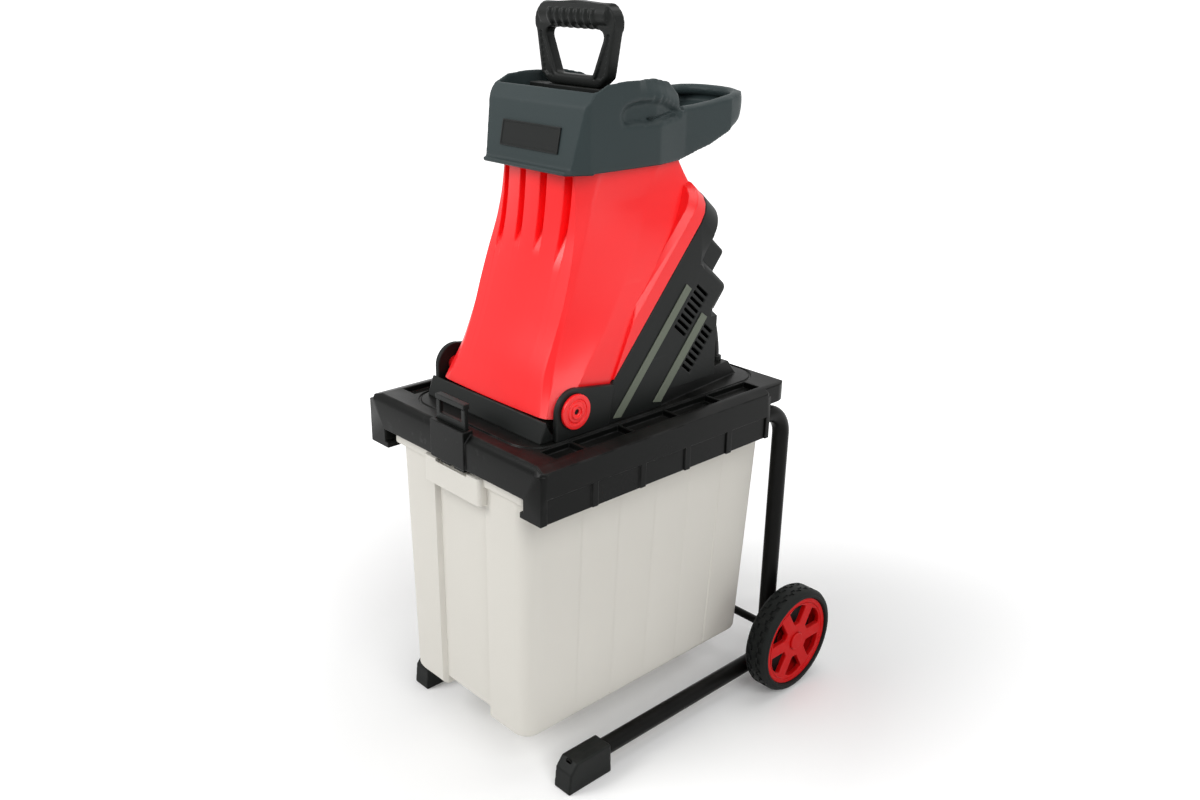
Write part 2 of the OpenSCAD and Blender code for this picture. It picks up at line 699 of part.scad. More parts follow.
// A smooth curve through the route points of the lead.
function hermite(a, b, ta, tb, t) = a * (2 * t * t * t - 3 * t * t + 1) + ta * (t * t * t - 2 * t * t + t)
    + b * (3 * t * t - 2 * t * t * t) + tb * (t * t * t - t * t);
function tangent(p, i) = let (last = len(p) - 1)
    (p[min(i + 1, last)] - p[max(i - 1, 0)]) / (i == 0 || i == last ? 1 : 2);
lead_path = concat([for (i = [0:len(lead_points) - 2], k = [0:lead_steps - 1])
    hermite(lead_points[i], lead_points[i + 1], tangent(lead_points, i), tangent(lead_points, i + 1),
            k / lead_steps)], [lead_points[len(lead_points) - 1]]);
function unit(v) = v / norm(v);
function lead_ring(i) = let (d = unit(tangent(lead_path, i)))
    [for (j = [0:lead_sides - 1]) let (a = -360 * j / lead_sides, q = lead_path[i])
        [lead_x + lead_r * cos(a), q[0] - lead_r * sin(a) * d[1], q[1] + lead_r * sin(a) * d[0]]];

module interlock_lead() color(black) loft([for (i = [0:len(lead_path) - 1]) lead_ring(i)]);

module lead_glands() color(black) {
    incline() difference() {
        union() {
            pot(lead_u, block_n, block_n + 9, 7, lead_x);
            pot(lead_u, block_n - 5, block_n + eps, 4.9, lead_x);
        }
        pot(lead_u, block_n - 6, block_n + 10, lead_r + 0.25, lead_x);
    }
    translate([lead_x, lead_land_y, deck_top + pedestal_h]) difference() {
        union() {
            cylinder(h = 7, r = 7);
            translate([0, 0, -5]) cylinder(h = 6, r = 4.9);
        }
        translate([0, 0, -6]) cylinder(h = 14, r = lead_r + 0.25);
    }
}

module box_interlock_switch() color(black) {
    block(latch_half + 7, latch_half + 29, deck_front + 15, deck_front + 26, deck_top - deck_wall - 20,
          deck_top - deck_wall);
    block(latch_half + 11, latch_half + 14, deck_front + 12, deck_front + 15, deck_top - deck_wall - 18,
          deck_top - deck_wall - edge_fall - 1);
}

module chute_interlock_switch() color(black) incline() {
    translate([24, rim_top - 30, -chamber_n]) cube([22, 20, 16]);
    translate([28, rim_top - 24, -chamber_n + 16]) cube([6, 6, 4]);
}

case_r = 37;
case_end_r = 20;

module case_shape(grow) {
    translate([0, spindle_u]) circle(case_r + grow);
    translate([0, motor_u]) circle(case_end_r + grow);
    translate([-case_end_r - grow, spindle_u]) square([2 * (case_end_r + grow), centre_dist]);
}

module gear_case() color(alloy) incline() difference() {
    union() {
        translate([0, 0, -57]) linear_extrude(57 - flange_t) case_shape(0);
        pot(spindle_u, 24, flange_t + eps, 24);
    }
    translate([0, 0, -57 - eps]) linear_extrude(57 + eps - 38) case_shape(-4.5);
    pot(spindle_u, 23, 36, bearing_r + fit);
    pot(spindle_u, 23, 40, 10);
}

module gear_cover() color(alloy) incline() difference() {
    translate([0, 0, -70]) linear_extrude(13) case_shape(0);
    pot(spindle_u, 59, 71, bearing_r + fit);
    pot(spindle_u, 56, 71, 9);
    pot(motor_u, 59, 71, small_bearing_r + fit);
    pot(motor_u, 56, 71, 7);
}

// A gear outline with involute flanks, one tooth centred on the x axis.
pressure = 20;
flank_steps = 4;
function inv(a) = tan(a) * 180 / PI - a;
function polar(r, a) = r * [cos(a), sin(a)];
function gear_points(z, m, slack) = let (rp = m * z / 2, rb = rp * cos(pressure), ra = rp + 0.75 * m,
    rr = rp - m, half = 90 / z + inv(pressure) - slack / rp * 90 / PI, r0 = max(rb, rr),
    foot = half - inv(acos(rb / r0)))
    [for (i = [0:z - 1]) let (mid = i * 360 / z) each concat(
        [polar(rr, mid - foot)],
        [for (j = [0:flank_steps]) let (r = r0 + (ra - r0) * j / flank_steps)
            polar(r, mid - half + inv(acos(rb / r)))],
        [for (j = [flank_steps:-1:0]) let (r = r0 + (ra - r0) * j / flank_steps)
            polar(r, mid + half - inv(acos(rb / r)))],
        [polar(rr, mid + foot)])];
tooth_slack = 0.16;

gear_n = 54;
gear_w = 12;

module spindle_gear() color(steel) incline() translate([0, spindle_u, -gear_n]) difference() {
    linear_extrude(gear_w) polygon(gear_points(gear_z, gear_m, tooth_slack));
    translate([0, 0, -eps]) cylinder(h = gear_w + 2 * eps, r = spindle_r + press_gap);
}

module motor_pinion() color(steel) incline() translate([0, motor_u, -gear_n]) rotate([0, 0, 180 / pinion_z])
    difference() {
        linear_extrude(gear_w) polygon(gear_points(pinion_z, gear_m, tooth_slack));
        translate([0, 0, -eps]) cylinder(h = gear_w + 2 * eps, r = shaft_r + press_gap);
    }

bolt_r = 4;
disc_n = 4;

module spindle() color(steel) incline() difference() {
    union() {
        pot(spindle_u, disc_n + 0.5, 70, spindle_r);
        pot(spindle_u, disc_n + disc_t, 23.5, 12);
    }
    pot(spindle_u, 3, 24, bolt_r + press_gap);
}

module spindle_bearings() color(steel) incline() {
    pot_ring(spindle_u, 24.5, 35.5, bearing_r, spindle_r + fit);
    pot_ring(spindle_u, 59.5, 70, bearing_r, spindle_r + fit);
}

blade_in = 24;
blade_out = disc_d / 2 - 4;
blade_w = 30;
blade_t = 3.4;
blade_screw_r = 2.5;
blade_screw_at = [40, 70];

module cutter_disc() color(steel) incline() difference() {
    pot(spindle_u, disc_n, disc_n + disc_t, disc_d / 2);
    pot(spindle_u, disc_n - eps, disc_n + disc_t + eps, spindle_r + press_gap);
    translate([0, spindle_u, 0]) for (i = [0:1]) rotate([0, 0, 180 * i]) {
        translate([blade_in, 12, -5 - disc_t]) cube([blade_out - blade_in - 4, 9, disc_t + 2]);
        for (r = blade_screw_at)
            translate([r, 0, -5 - disc_t]) cylinder(h = disc_t + 2, r = blade_screw_r + fit);
    }
}

module cutter_blades() color(alloy) incline() translate([0, spindle_u, -disc_n]) for (i = [0:1])
    rotate([0, 0, 180 * i]) difference() {
        translate([blade_in, 0, 0]) rotate([90, 0, 90]) linear_extrude(blade_out - blade_in)
            polygon([[-blade_w / 2, 0], [blade_w / 2 - 4, 0], [blade_w / 2 - 1, blade_t],
                     [-blade_w / 2, blade_t]]);
        for (r = blade_screw_at) translate([r, 0, -eps]) cylinder(h = 6, r = blade_screw_r + fit);
    }

module blade_screws() color(steel) incline() translate([0, spindle_u, 0]) for (i = [0:1], r = blade_screw_at)
    rotate([0, 0, 180 * i]) translate([r, 0, -disc_n - disc_t]) {
        cylinder(h = disc_t + 4, r = blade_screw_r);
        translate([0, 0, disc_t + blade_t]) cylinder(h = 2.6, r = 4.8);
    }

module disc_bolt() color(steel) incline() {
    pot(spindle_u, 2, 22, bolt_r);
    pot(spindle_u, 1, disc_n, 14);
    translate([0, spindle_u, -1.5]) cylinder(h = 7, r = 9, $fn = 6);
}

module armature_shaft() color(steel) incline() pot(motor_u, 40, 155.5, shaft_r);

core_n = 88;
core_end = 132;
core_r = 24;
slots = 12;

module armature_core() color(steel) incline() difference() {
    pot(motor_u, core_n, core_end, core_r);
    pot(motor_u, core_n - eps, core_end + eps, shaft_r + press_gap);
    for (i = [0:slots - 1]) translate([0, motor_u, -core_end - eps]) rotate([0, 0, i * 360 / slots])
        translate([16, -1.2, 0]) cube([10, 2.4, core_end - core_n + 2 * eps]);
}

module commutator() color(copper) incline() difference() {
    pot(motor_u, 139, 150, 12);
    pot(motor_u, 138, 151, shaft_r + press_gap);
    for (i = [0:slots - 1]) translate([0, motor_u, -151]) rotate([0, 0, (i + 0.5) * 360 / slots])
        translate([10.6, -0.4, 0]) cube([3, 0.8, 13]);
}

vanes = 11;

module cooling_fan() color(charcoal) incline() difference() {
    union() {
        pot(motor_u, 72, 75, 39);
        pot(motor_u, 72, 80, 10);
        for (i = [0:vanes - 1]) translate([0, motor_u, -80]) rotate([0, 0, i * 360 / vanes])
            translate([9, -1, 0]) cube([29, 2, 6]);
    }
    pot(motor_u, 71, 81, shaft_r + press_gap);
}

module armature_bearings() color(steel) incline() {
    pot_ring(motor_u, 59.5, 68.5, small_bearing_r, shaft_r + fit);
    pot_ring(motor_u, 151, cover_end - wall, 11, shaft_r + fit);
}

module stator_core() color(steel) incline() pot_ring(motor_u, core_n, core_end, stator_r, core_r + 0.8);

module field_windings() color(copper) incline() {
    pot_ring(motor_u, core_n - 7, core_n, stator_r - 2.5, core_r + 3);
    pot_ring(motor_u, core_end, core_end + 6, stator_r - 2.5, core_r + 3);
}

module brush_holders() color(brass_c) incline() for (s = [-1, 1]) difference() {
    translate([s > 0 ? 14 : -43.6, motor_u - 5, -149.5]) cube([29.6, 10, 10]);
    translate([s > 0 ? 13 : -44.6, motor_u - 3.2, -147.7]) cube([31.6, 6.4, 6.4]);
}

module carbon_brushes() color(charcoal) incline() for (s = [-1, 1])
    translate([s > 0 ? 12.3 : -30.3, motor_u - 3.1, -147.6]) cube([18, 6.2, 6.2]);

chute_wall = 4;
chute_low = chin_top + 2 * gap;
chute_half = ear_in - 1;
// The chute's sections: height above the deck, half widths at front and rear, front and rear offset.
chute_past = 8;
function chute_rear(z) = max(164 + (z - 51) / tan(plane_angle) + chute_past, 150);
chute_rows = [[-10, chute_half, chute_half, 58, chute_rear(-10)],
              [25, chute_half - 1, chute_half, 67, chute_rear(25)],
              [70, chute_half - 6, chute_half + 0.4, 86, chute_rear(70)],
              [115, chute_half - 17, chute_half + 1.5, 104, chute_rear(115)],
              [165, chute_half - 28, chute_half + 2, 121, chute_rear(165)],
              [215, chute_half - 34, chute_half - 3, 133, chute_rear(215)],
              [240, chute_half - 36, chute_half - 11, 136, chute_rear(240)],
              [258, chute_half - 37, chute_half - 22, 138, chute_rear(258)],
              [274, chute_half - 38, chute_half - 33, 139, 332],
              [hopper_base + 9.7, chute_half - 42, chute_half - 42, 140, 320]];

function chute_ring(r, inset) = outline(r[1] - inset, r[2] - inset, deck_front + r[3] + inset,
                                        deck_front + r[4] - inset, 14, 8, 5);

// The chute's outside, or its inside where an inset is given, which runs past both ends.
module chute_body(inset) {
    last = len(chute_rows) - 1;
    over = inset > 0 ? eps : 0;
    loft([for (i = [0:last]) let (r = chute_rows[i], end = i == 0 ? -over : (i == last ? over : 0))
          raise(chute_ring(r, inset), deck_top + r[0] + end)]);
}

rim_h = 20;
rim_edge = 8;
rim_half = housing_w / 2 - 0.5;
rim_wall = 5;

function rim_ring(inset, r) = outline(rim_half - inset, rim_half - inset, rim_low, rim_top - inset, 8, r);

module rim_body(inset, z0, z1, z2) loft([
    raise(rim_ring(inset, rim_corner - inset), z0),
    raise(rim_ring(inset, rim_corner - inset), z1),
    raise(rim_ring(inset + rim_edge, rim_corner - inset - 5), z2)]);

boss_in = 36.6;
hopper_screw_x = chute_half - boss_in;
hopper_screw_y = deck_front + 225;
lock_bore = 5.8;
insert_r = 8;

module feed_chute() color(red) difference() {
    union() {
        difference() {
            union() {
                incline() difference() {
                    rim_body(0, gap, rim_h, rim_h + rim_edge);
                    rim_body(rim_wall, gap - eps, rim_h - 2, rim_h + rim_edge - rim_wall);
                }
                chute_body(0);
            }
            chute_body(chute_wall);
        }
        both_sides() x_rod(hinge_y, hinge_z, ear_in - 12, ear_in - 0.8, 16);
        incline() translate([-14, lock_u - 10, gap]) cube([28, rim_top - 3 - lock_u + 10, 18]);
        both_sides() translate([hopper_screw_x, hopper_screw_y, chute_top - 24]) cylinder(h = 24, r = 6);
    }
    across(2 * housing_w) polygon([off(-100, -200), off(-100, chute_low),
                                   at(u_at(-gap, deck_top + chute_low), -gap), at(600, -gap),
                                   [deck_rear + 600, deck_top - 200]]);
    x_rod(hinge_y, hinge_z, -housing_w, housing_w, pin_r + press_gap);
    incline() translate([0, lock_u, -eps]) cylinder(h = 16 + eps + gap, r = insert_r + press_gap);
    both_sides() translate([hopper_screw_x, hopper_screw_y, chute_top - 18])
        cylinder(h = 18 + eps, r = screw_r + fit);
}

module lock_insert() color(brass_c) incline() difference() {
    translate([0, lock_u, gap]) cylinder(h = 16, r = insert_r);
    translate([0, lock_u, gap - eps]) cylinder(h = 16 + 2 * eps, r = lock_bore);
}

module hinge_trunnions() color(red) both_sides() difference() {
    union() {
        x_rod(hinge_y, hinge_z, ear_in - 12, ear_out + 1, pin_r);
        x_rod(hinge_y, hinge_z, ear_out + gap, ear_out + 5, 22);
    }
    x_rod(hinge_y, hinge_z, ear_out + 2.5, ear_out + 6, 3.5);
    difference() {
        x_rod(hinge_y, hinge_z, ear_out + 4, ear_out + 6, 16);
        x_rod(hinge_y, hinge_z, ear_out + 3, ear_out + 7, 13.5);
    }
}

hop_front = [off(127, hopper_base), off(142, hopper_base + 76), off(154, hopper_base + 91),
             off(174, hopper_base + hopper_h - 3), off(205, hopper_base + hopper_h)];
hop_back = [off(258, hopper_base + hopper_h), off(290, hopper_base + hopper_h - 6),
            off(308, hopper_base + hopper_h - 22), off(314, hopper_base + 61), off(388, hopper_base + 66),
            off(450, hopper_base + 76)];
hop_under = [off(455, hopper_base + 72), off(452, hopper_base + 54), off(432, hopper_base + 38),
             off(376, hopper_base + 15), off(316, hopper_base + 1), off(260, hopper_base)];
hop_side = concat(hop_front, hop_back, hop_under);
hop_inside = [off(127 + hopper_wall, hopper_base - eps), off(142 + hopper_wall, hopper_base + 76),
              off(154 + hopper_wall, hopper_base + 88), off(158 + hopper_wall, hopper_base + hopper_h + 40),
              off(470, hopper_base + hopper_h + 40), off(470, hopper_base + 66),
              off(450, hopper_base + 54 + hopper_wall), off(430, hopper_base + 38 + hopper_wall),
              off(376, hopper_base + 15 + hopper_wall), off(326, hopper_base + 3 + hopper_wall),
              off(325, hopper_base - eps)];

hop_w = chute_half - 20.6;
function hop_half(i) = [[hop_w - 19 - i, 120 + i], [hop_w - 1 - i, 148 + i], [hop_w - i, 262],
    [hop_w - 14 - i, 322], [hop_w - 19 - i, 410], [hop_w - 24 - i, 433], [hop_w - 36 - i, 447 - i / 2],
    [hop_w - 55 - i, 453 - i]];
function hop_plan(half) = concat([for (p = half) [p[0], deck_front + p[1]]],
    [for (j = [len(half) - 1:-1:0]) [-half[j][0], deck_front + half[j][1]]]);

// The part of the hopper that stands above the shelf, narrower than the rest towards the rear.
function hump_half(i) = [[hop_w - 19 - i, 120 + i], [hop_w - 1 - i, 148 + i], [hop_w - 0.5 - i, 224],
    [hop_w - 8 - i, 240], [hop_w - 11 - i, 264], [hop_w - 21 - i, 330]];

// What lies lower than the shelf by the given amount, and all of the spout.
function below_shelf(d) = [off(90, hopper_base - 60), off(90, hopper_base + 55 - d),
    off(215, hopper_base + 55 - d), off(313, hopper_base + 61 - d), off(313, hopper_base + 200),
    off(500, hopper_base + 200), off(500, hopper_base - 60)];

module hopper_part(side, plan, clip) intersection() {
    across(2 * hop_w + 34) polygon(side);
    translate([0, 0, hopper_z - 40]) linear_extrude(hopper_h + 140) polygon(plan);
    across(2 * hop_w + 34) polygon(clip);
}

module hopper() color(charcoal) difference() {
    union() {
        difference() {
            union() {
                hopper_part(hop_side, hop_plan(hop_half(0)), below_shelf(0));
                hopper_part(hop_side, hop_plan(hump_half(0)), hop_side);
            }
            hopper_part(hop_inside, hop_plan(hop_half(hopper_wall)), below_shelf(hopper_wall));
            hopper_part(hop_inside, hop_plan(hump_half(hopper_wall)), hop_inside);
        }
        intersection() {
            difference() {
                block(-hop_w - 7, hop_w + 7, deck_front + 120, deck_front + 320, chute_top, chute_top + 4);
                block(-chute_half + 46, chute_half - 46, deck_front + 144, deck_front + 315, chute_top - eps,
                      chute_top + 5);
            }
            hopper_part(hop_side, hop_plan(hop_half(1)), hop_side);
        }
        both_sides() block(paddle_half + 12, hop_w - 3, plunger_y - 14, plunger_y + 14, shoulder_z - 10,
                           shoulder_z - gap);
    }
    both_sides() translate([hopper_screw_x, hopper_screw_y, chute_top - eps])
        cylinder(h = 8, r = screw_r + 0.4);
}

module hopper_screws() color(steel) both_sides() translate([hopper_screw_x, hopper_screw_y, 0]) {
    translate([0, 0, chute_top - 16]) cylinder(h = 21, r = screw_r);
    translate([0, 0, chute_top + 4]) cylinder(h = head_h, r = head_r);
}

lean = atan(15 / 76);

module name_plate() color(black) translate([0, deck_front + 127, hopper_z]) rotate([-lean, 0, 0])
    block(-53, 53, -2.2, 0, 21, 52);

shoulder_half = hop_w - 13;
shoulder_t = 8;

handle_x = handle_half - 22;
hole_x = handle_half - 30;
handle_t = 17;
grip_z = 91;
grip_r = 14;
handle_side = concat([[-paddle_half + 6, 8], [paddle_half - 6, 8], [60, 20]],
                     arc(handle_x, 82, 22, -10, 80, 5), [[0, 107]],
                     arc(-handle_x, 82, 22, 100, 190, 5), [[-60, 20]]);
handle_hole = concat([[-32, 22], [32, 22]], arc(hole_x, 66, 10, 0, 90, 3), arc(-hole_x, 66, 10, 90, 180, 3));

module plunger_handle() color(black) {
    translate([0, plunger_y + handle_t / 2, shoulder_z]) rotate([90, 0, 0]) linear_extrude(handle_t)
        difference() {
            polygon(handle_side);
            polygon(handle_hole);
        }
    x_rod(plunger_y, shoulder_z + grip_z, -handle_half + 12, handle_half - 12, grip_r);
}

module plunger_paddle() color(black) {
    difference() {
        block(-paddle_half, paddle_half, plunger_y - 12, plunger_y + 12,
              shoulder_z + shoulder_t - paddle_len, shoulder_z + shoulder_t);
        for (s = [-1, 1]) translate([0, plunger_y + s * 8, 0])
            block(-paddle_half + 5, paddle_half - 5, -5, 5, shoulder_z + 20 - paddle_len, shoulder_z - 12);
    }
    both_sides() block(paddle_half - 1, shoulder_half, plunger_y - 10, plunger_y + 10, shoulder_z,
                       shoulder_z + shoulder_t);
}

knob_r = 20;
lobes = 8;

module lock_washer() color(steel) incline() pot_ring(lock_u, flange_t + gap, flange_t + gap + 2, 10, 4.3);

module lock_knob() color(black) incline() difference() {
    union() {
        pot(lock_u, flange_t + 2.6, flange_t + 8, 11);
        pot(lock_u, flange_t + 6, flange_t + 26, knob_r);
    }
    pot(lock_u, flange_t, flange_t + 20, 4.02);
    for (i = [0:lobes - 1]) translate([0, lock_u, -flange_t - 30]) rotate([0, 0, i * 360 / lobes])
        translate([knob_r + 2, 0, 0]) cylinder(h = 40, r = 5);
}

module lock_stud() color(steel) incline() pot(lock_u, -10, flange_t + 20, 4);

deck();
left_leg();
right_leg();
left_foot();
right_foot();
leg_screws();
axle();
axle_spacers();
axle_caps();
left_tyre();
left_rim();
right_tyre();
right_rim();
collection_box();
box_latch();
lower_housing();
side_trims();
housing_screws();
motor_cover();
switch_box();
start_button();
stop_button();
reset_button();
mains_inlet();
inlet_pins();
interlock_lead();
lead_glands();
box_interlock_switch();
chute_interlock_switch();
gear_case();
gear_cover();
spindle();
spindle_gear();
spindle_bearings();
cutter_disc();
cutter_blades();
blade_screws();
disc_bolt();
armature_shaft();
motor_pinion();
armature_core();
commutator();
cooling_fan();
armature_bearings();
stator_core();
field_windings();
brush_holders();
carbon_brushes();
feed_chute();
lock_insert();
hinge_trunnions();
hopper();
hopper_screws();
name_plate();
plunger_handle();
plunger_paddle();
lock_washer();
lock_knob();
lock_stud();
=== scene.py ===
import json
import math

import bmesh
import bpy
from bpy.props import FloatProperty, FloatVectorProperty, IntProperty, PointerProperty
from mathutils import Matrix, Vector
from mathutils.bvhtree import BVHTree
from mathutils.kdtree import KDTree


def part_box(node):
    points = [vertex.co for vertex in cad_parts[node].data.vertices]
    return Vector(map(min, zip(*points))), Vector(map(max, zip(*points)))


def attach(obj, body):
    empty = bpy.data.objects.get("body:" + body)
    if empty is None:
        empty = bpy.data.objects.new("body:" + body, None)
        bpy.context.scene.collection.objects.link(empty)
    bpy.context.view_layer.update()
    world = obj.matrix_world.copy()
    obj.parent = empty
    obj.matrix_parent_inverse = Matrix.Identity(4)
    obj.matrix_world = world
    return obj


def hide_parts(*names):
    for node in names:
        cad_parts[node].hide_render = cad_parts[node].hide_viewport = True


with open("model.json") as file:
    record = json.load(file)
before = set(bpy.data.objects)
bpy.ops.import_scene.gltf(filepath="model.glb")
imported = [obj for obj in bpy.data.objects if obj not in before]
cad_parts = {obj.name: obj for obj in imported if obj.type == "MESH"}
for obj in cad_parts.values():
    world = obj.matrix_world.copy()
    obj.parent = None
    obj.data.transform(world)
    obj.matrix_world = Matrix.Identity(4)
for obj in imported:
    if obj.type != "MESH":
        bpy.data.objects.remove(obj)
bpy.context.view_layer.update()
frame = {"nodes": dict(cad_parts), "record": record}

bl_info = {
    "name": "Garden shredder looks",
    "version": (1, 0, 0),
    "blender": (4, 5, 0),
    "location": "3D View > Sidebar > Shredder",
    "description": "Dresses the packed garden shredder with moulded shells, grips, wheels and finishes",
    "category": "Object",
}

NODES = frame["nodes"]
SLOT_OF = {p["node"]: p["material_slot"] for p in frame["record"]["subparts"]}

# Reference lines of the machine in millimetres: the deck's front edge and top, and the parting plane.
DECK_FRONT = -268.5
DECK_TOP = 475.0
PLANE_Y = -104.5
PLANE_Z = 526.0
TILT = math.radians(50)
ALONG = Vector((0, math.cos(TILT), math.sin(TILT)))
INTO = Vector((0, math.sin(TILT), -math.cos(TILT)))

# Corners nearer than this, in metres, are one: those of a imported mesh, then those of short edges and of rings.
SAME_CORNER = 5e-7
NO_LENGTH = 1e-6

# Pieces that are smooth up to this angle or beyond are melted all over and keep their plain shading.
SOFT_ANGLE = 45

# Colour of the dust on plastics that have no dust colour of their own.
DUST = (0.5, 0.48, 0.44)


def linear(red, green, blue):
    """A colour as the eye reads it, from 0 to 255, as the light values that the shader takes."""
    def one(v):
        v /= 255
        return v / 12.92 if v <= 0.04045 else ((v + 0.055) / 1.055) ** 2.4
    return (one(red), one(green), one(blue))


def colour(name, description, red, green, blue):
    return FloatVectorProperty(name=name, description=description, subtype="COLOR", size=3, min=0, max=1,
                               default=linear(red, green, blue))


def length(name, description, millimetres):
    return FloatProperty(name=name, description=description, default=millimetres / 1000, min=0,
                         unit="LENGTH", precision=5)


class ShredderSizes(bpy.types.PropertyGroup):
    """Sizes of the dressed shredder that a user would change"""
    edge_round: length("Edge rounding", "Rounding of the moulded edges of deck, housing and box", 1.1)
    box_round: length("Switch box rounding", "Rounding of the switch box's outer edges", 6.0)
    block_round: length("Motor block rounding", "Rounding of the motor block's outer edges", 10.0)
    foot_passes: IntProperty(name="Foot smoothing", description="How far the feet's edges are melted", default=8,
                             min=1, max=30)
    flute_width: length("Flute width", "Width of the grooves in the upper front of the chute", 11)
    flute_depth: length("Flute depth", "Depth of the grooves in the upper front of the chute", 13)
    chute_wall: length("Chute wall", "Thickness of the chute's shell", 4)
    spout_roll: length("Spout roll", "Radius of the rolled rim around the feeding spout", 7.5)
    arch_relief: length("Arch relief", "Depth of the alcoves under the creases of the hopper's humps", 9)
    grip_rib: length("Grip rib", "Radius of the ribs around the plunger's grip", 4.4)
    grip_ribs: IntProperty(name="Grip ribs", description="Ribs around the plunger's grip", default=7, min=1, max=12)
    tread_depth: length("Tread depth", "Depth of the grooves across the tyres", 1.8)
    tread_blocks: IntProperty(name="Tread blocks", description="Blocks around one tyre", default=30, min=12, max=90)


class ShredderColours(bpy.types.PropertyGroup):
    """Colours of the dressed shredder that a user would change"""
    shell: colour("Shell", "Glossy red of the chute and hinge caps", 252, 26, 30)
    rim: colour("Rims", "Darker red of the wheel rims", 200, 8, 10)
    hopper: colour("Hopper", "Charcoal of the hopper", 44, 54, 55)
    housing: colour("Housing", "Black of the motor housing, plunger, feet and latch", 22, 24, 23)
    deck: colour("Deck", "Glossier black of the deck", 13, 14, 13)
    strips: colour("Strips", "Grey of the strips on the housing's sides", 104, 110, 97)
    box: colour("Box", "Off-white of the collection box", 217, 214, 206)
    tube: colour("Tubes", "Black paint of the bent legs", 14, 14, 13)
    tyre: colour("Tyres", "Black rubber of the tyres", 24, 26, 25)
    floor: colour("Floor", "Pale floor of the stage", 246, 246, 246)


def sizes():
    return bpy.context.scene.shredder_sizes


def colours():
    return bpy.context.scene.shredder_colours


# Numbers and places

def held(value):
    """A number kept between 0 and 1."""
    return max(0.0, min(1.0, value))


def soft(value):
    """A number kept between 0 and 1 that leaves and arrives gently."""
    t = held(value)
    return t * t * (3 - 2 * t)


def shares(t):
    """Shares of both ends and of both slopes on a smooth curve, at a place from 0 to 1."""
    return 2 * t ** 3 - 3 * t ** 2 + 1, 3 * t ** 2 - 2 * t ** 3, t ** 3 - 2 * t ** 2 + t, t ** 3 - t ** 2


def eased(rows, z):
    """Smoothly reads a table of rows, each a height and its values, at a height."""
    i = max(0, min(len(rows) - 2, sum(1 for r in rows if r[0] <= z) - 1))
    a, b = rows[i], rows[i + 1]
    step = b[0] - a[0]
    start, end, leave, arrive = shares((z - a[0]) / step)

    def rate(j, k):
        low, high = rows[max(0, j - 1)], rows[min(len(rows) - 1, j + 1)]
        return (high[k] - low[k]) / (high[0] - low[0])
    return [start * a[k] + leave * (rate(i, k) * step) + end * b[k] + arrive * (rate(i + 1, k) * step)
            for k in range(1, len(a))]


def spot(x, y, z):
    """A point in millimetres from the middle plane, the deck's front edge and the deck's top, in metres."""
    return Vector((x, y + DECK_FRONT, z + DECK_TOP)) / 1000


def slope(x, u, n):
    """A point on the inclined housing: u up along the parting plane, n behind it, in millimetres."""
    base = Vector((x, PLANE_Y, PLANE_Z))
    return (base + ALONG * u + INTO * n) / 1000


def gap(at, line):
    """The distance from a point to a chain of points."""
    near = []
    for a, b in zip(line, line[1:]):
        t = held((at - a).dot(b - a) / (b - a).length_squared)
        near.append((at - a.lerp(b, t)).length)
    return min(near)


def within(at, outline):
    """Whether a point lies inside a closed outline."""
    inside = False
    for a, b in zip(outline, outline[1:] + outline[:1]):
        if (a.y > at.y) != (b.y > at.y) and at.x < a.x + (at.y - a.y) * (b.x - a.x) / (b.y - a.y):
            inside = not inside
    return inside


# Mesh tools

def copy_of(node):
    """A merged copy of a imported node's mesh."""
    bm = bmesh.new()
    bm.from_mesh(NODES[node].data)
    bmesh.ops.remove_doubles(bm, verts=bm.verts, dist=SAME_CORNER)
    bmesh.ops.dissolve_degenerate(bm, edges=bm.edges, dist=NO_LENGTH)
    return bm


def soften(bm, width, segments=2, turn=32, pick=None):
    """Rounds every picked edge that turns more than the given angle, where there is room."""
    skin = BVHTree.FromBMesh(bm)
    too_far, room = width * 0.5, width * 2.5
    bm.edges.index_update()
    chosen = [e.index for e in bm.edges
              if len(e.link_faces) == 2 and e.calc_face_angle(0) > math.radians(turn) and (not pick or pick(e))]
    while True:
        trial = bm.copy()
        trial.edges.ensure_lookup_table()
        worn = trial.faces.layers.float.get("edge") or trial.faces.layers.float.new("edge")
        made = bmesh.ops.bevel(trial, geom=[trial.edges[i] for i in chosen], offset=width, offset_type="OFFSET",
                               segments=segments, profile=0.5, affect="EDGES", clamp_overlap=False, material=-1)
        for face in made["faces"]:
            face[worn] = 1
        stray = {v for v in trial.verts if skin.find_nearest(v.co)[3] > too_far}
        if not stray:
            bm.free()
            return trial
        roots = {v.co.copy().freeze() for s in stray for f in s.link_faces for v in f.verts if v not in stray}
        trial.free()
        near = KDTree(len(roots))
        for k, root in enumerate(roots):
            near.insert(root, k)
        near.balance()
        bm.edges.ensure_lookup_table()
        roomy = [i for i in chosen if all(near.find(v.co)[2] > room for v in bm.edges[i].verts)]
        chosen = roomy if len(roomy) < len(chosen) else []


def relax(bm, verts, passes, upright=True):
    """Evens out the given corners. Without upright they keep their heights."""
    for _ in range(passes):
        bmesh.ops.smooth_vert(bm, verts=verts, factor=0.5, use_axis_x=True, use_axis_y=True, use_axis_z=upright)


def cut(bm, at, outward):
    """Takes away everything beyond a plane."""
    everything = bm.verts[:] + bm.edges[:] + bm.faces[:]
    bmesh.ops.bisect_plane(bm, geom=everything, plane_co=at, plane_no=outward, clear_outer=True)


def settled(piece):
    """The mesh of a piece with its modifiers worked in."""
    graph = bpy.context.evaluated_depsgraph_get()
    mesh = bpy.data.meshes.new_from_object(piece.evaluated_get(graph))
    old = piece.data
    piece.modifiers.clear()
    piece.data = mesh
    bpy.data.meshes.remove(old)
    return mesh


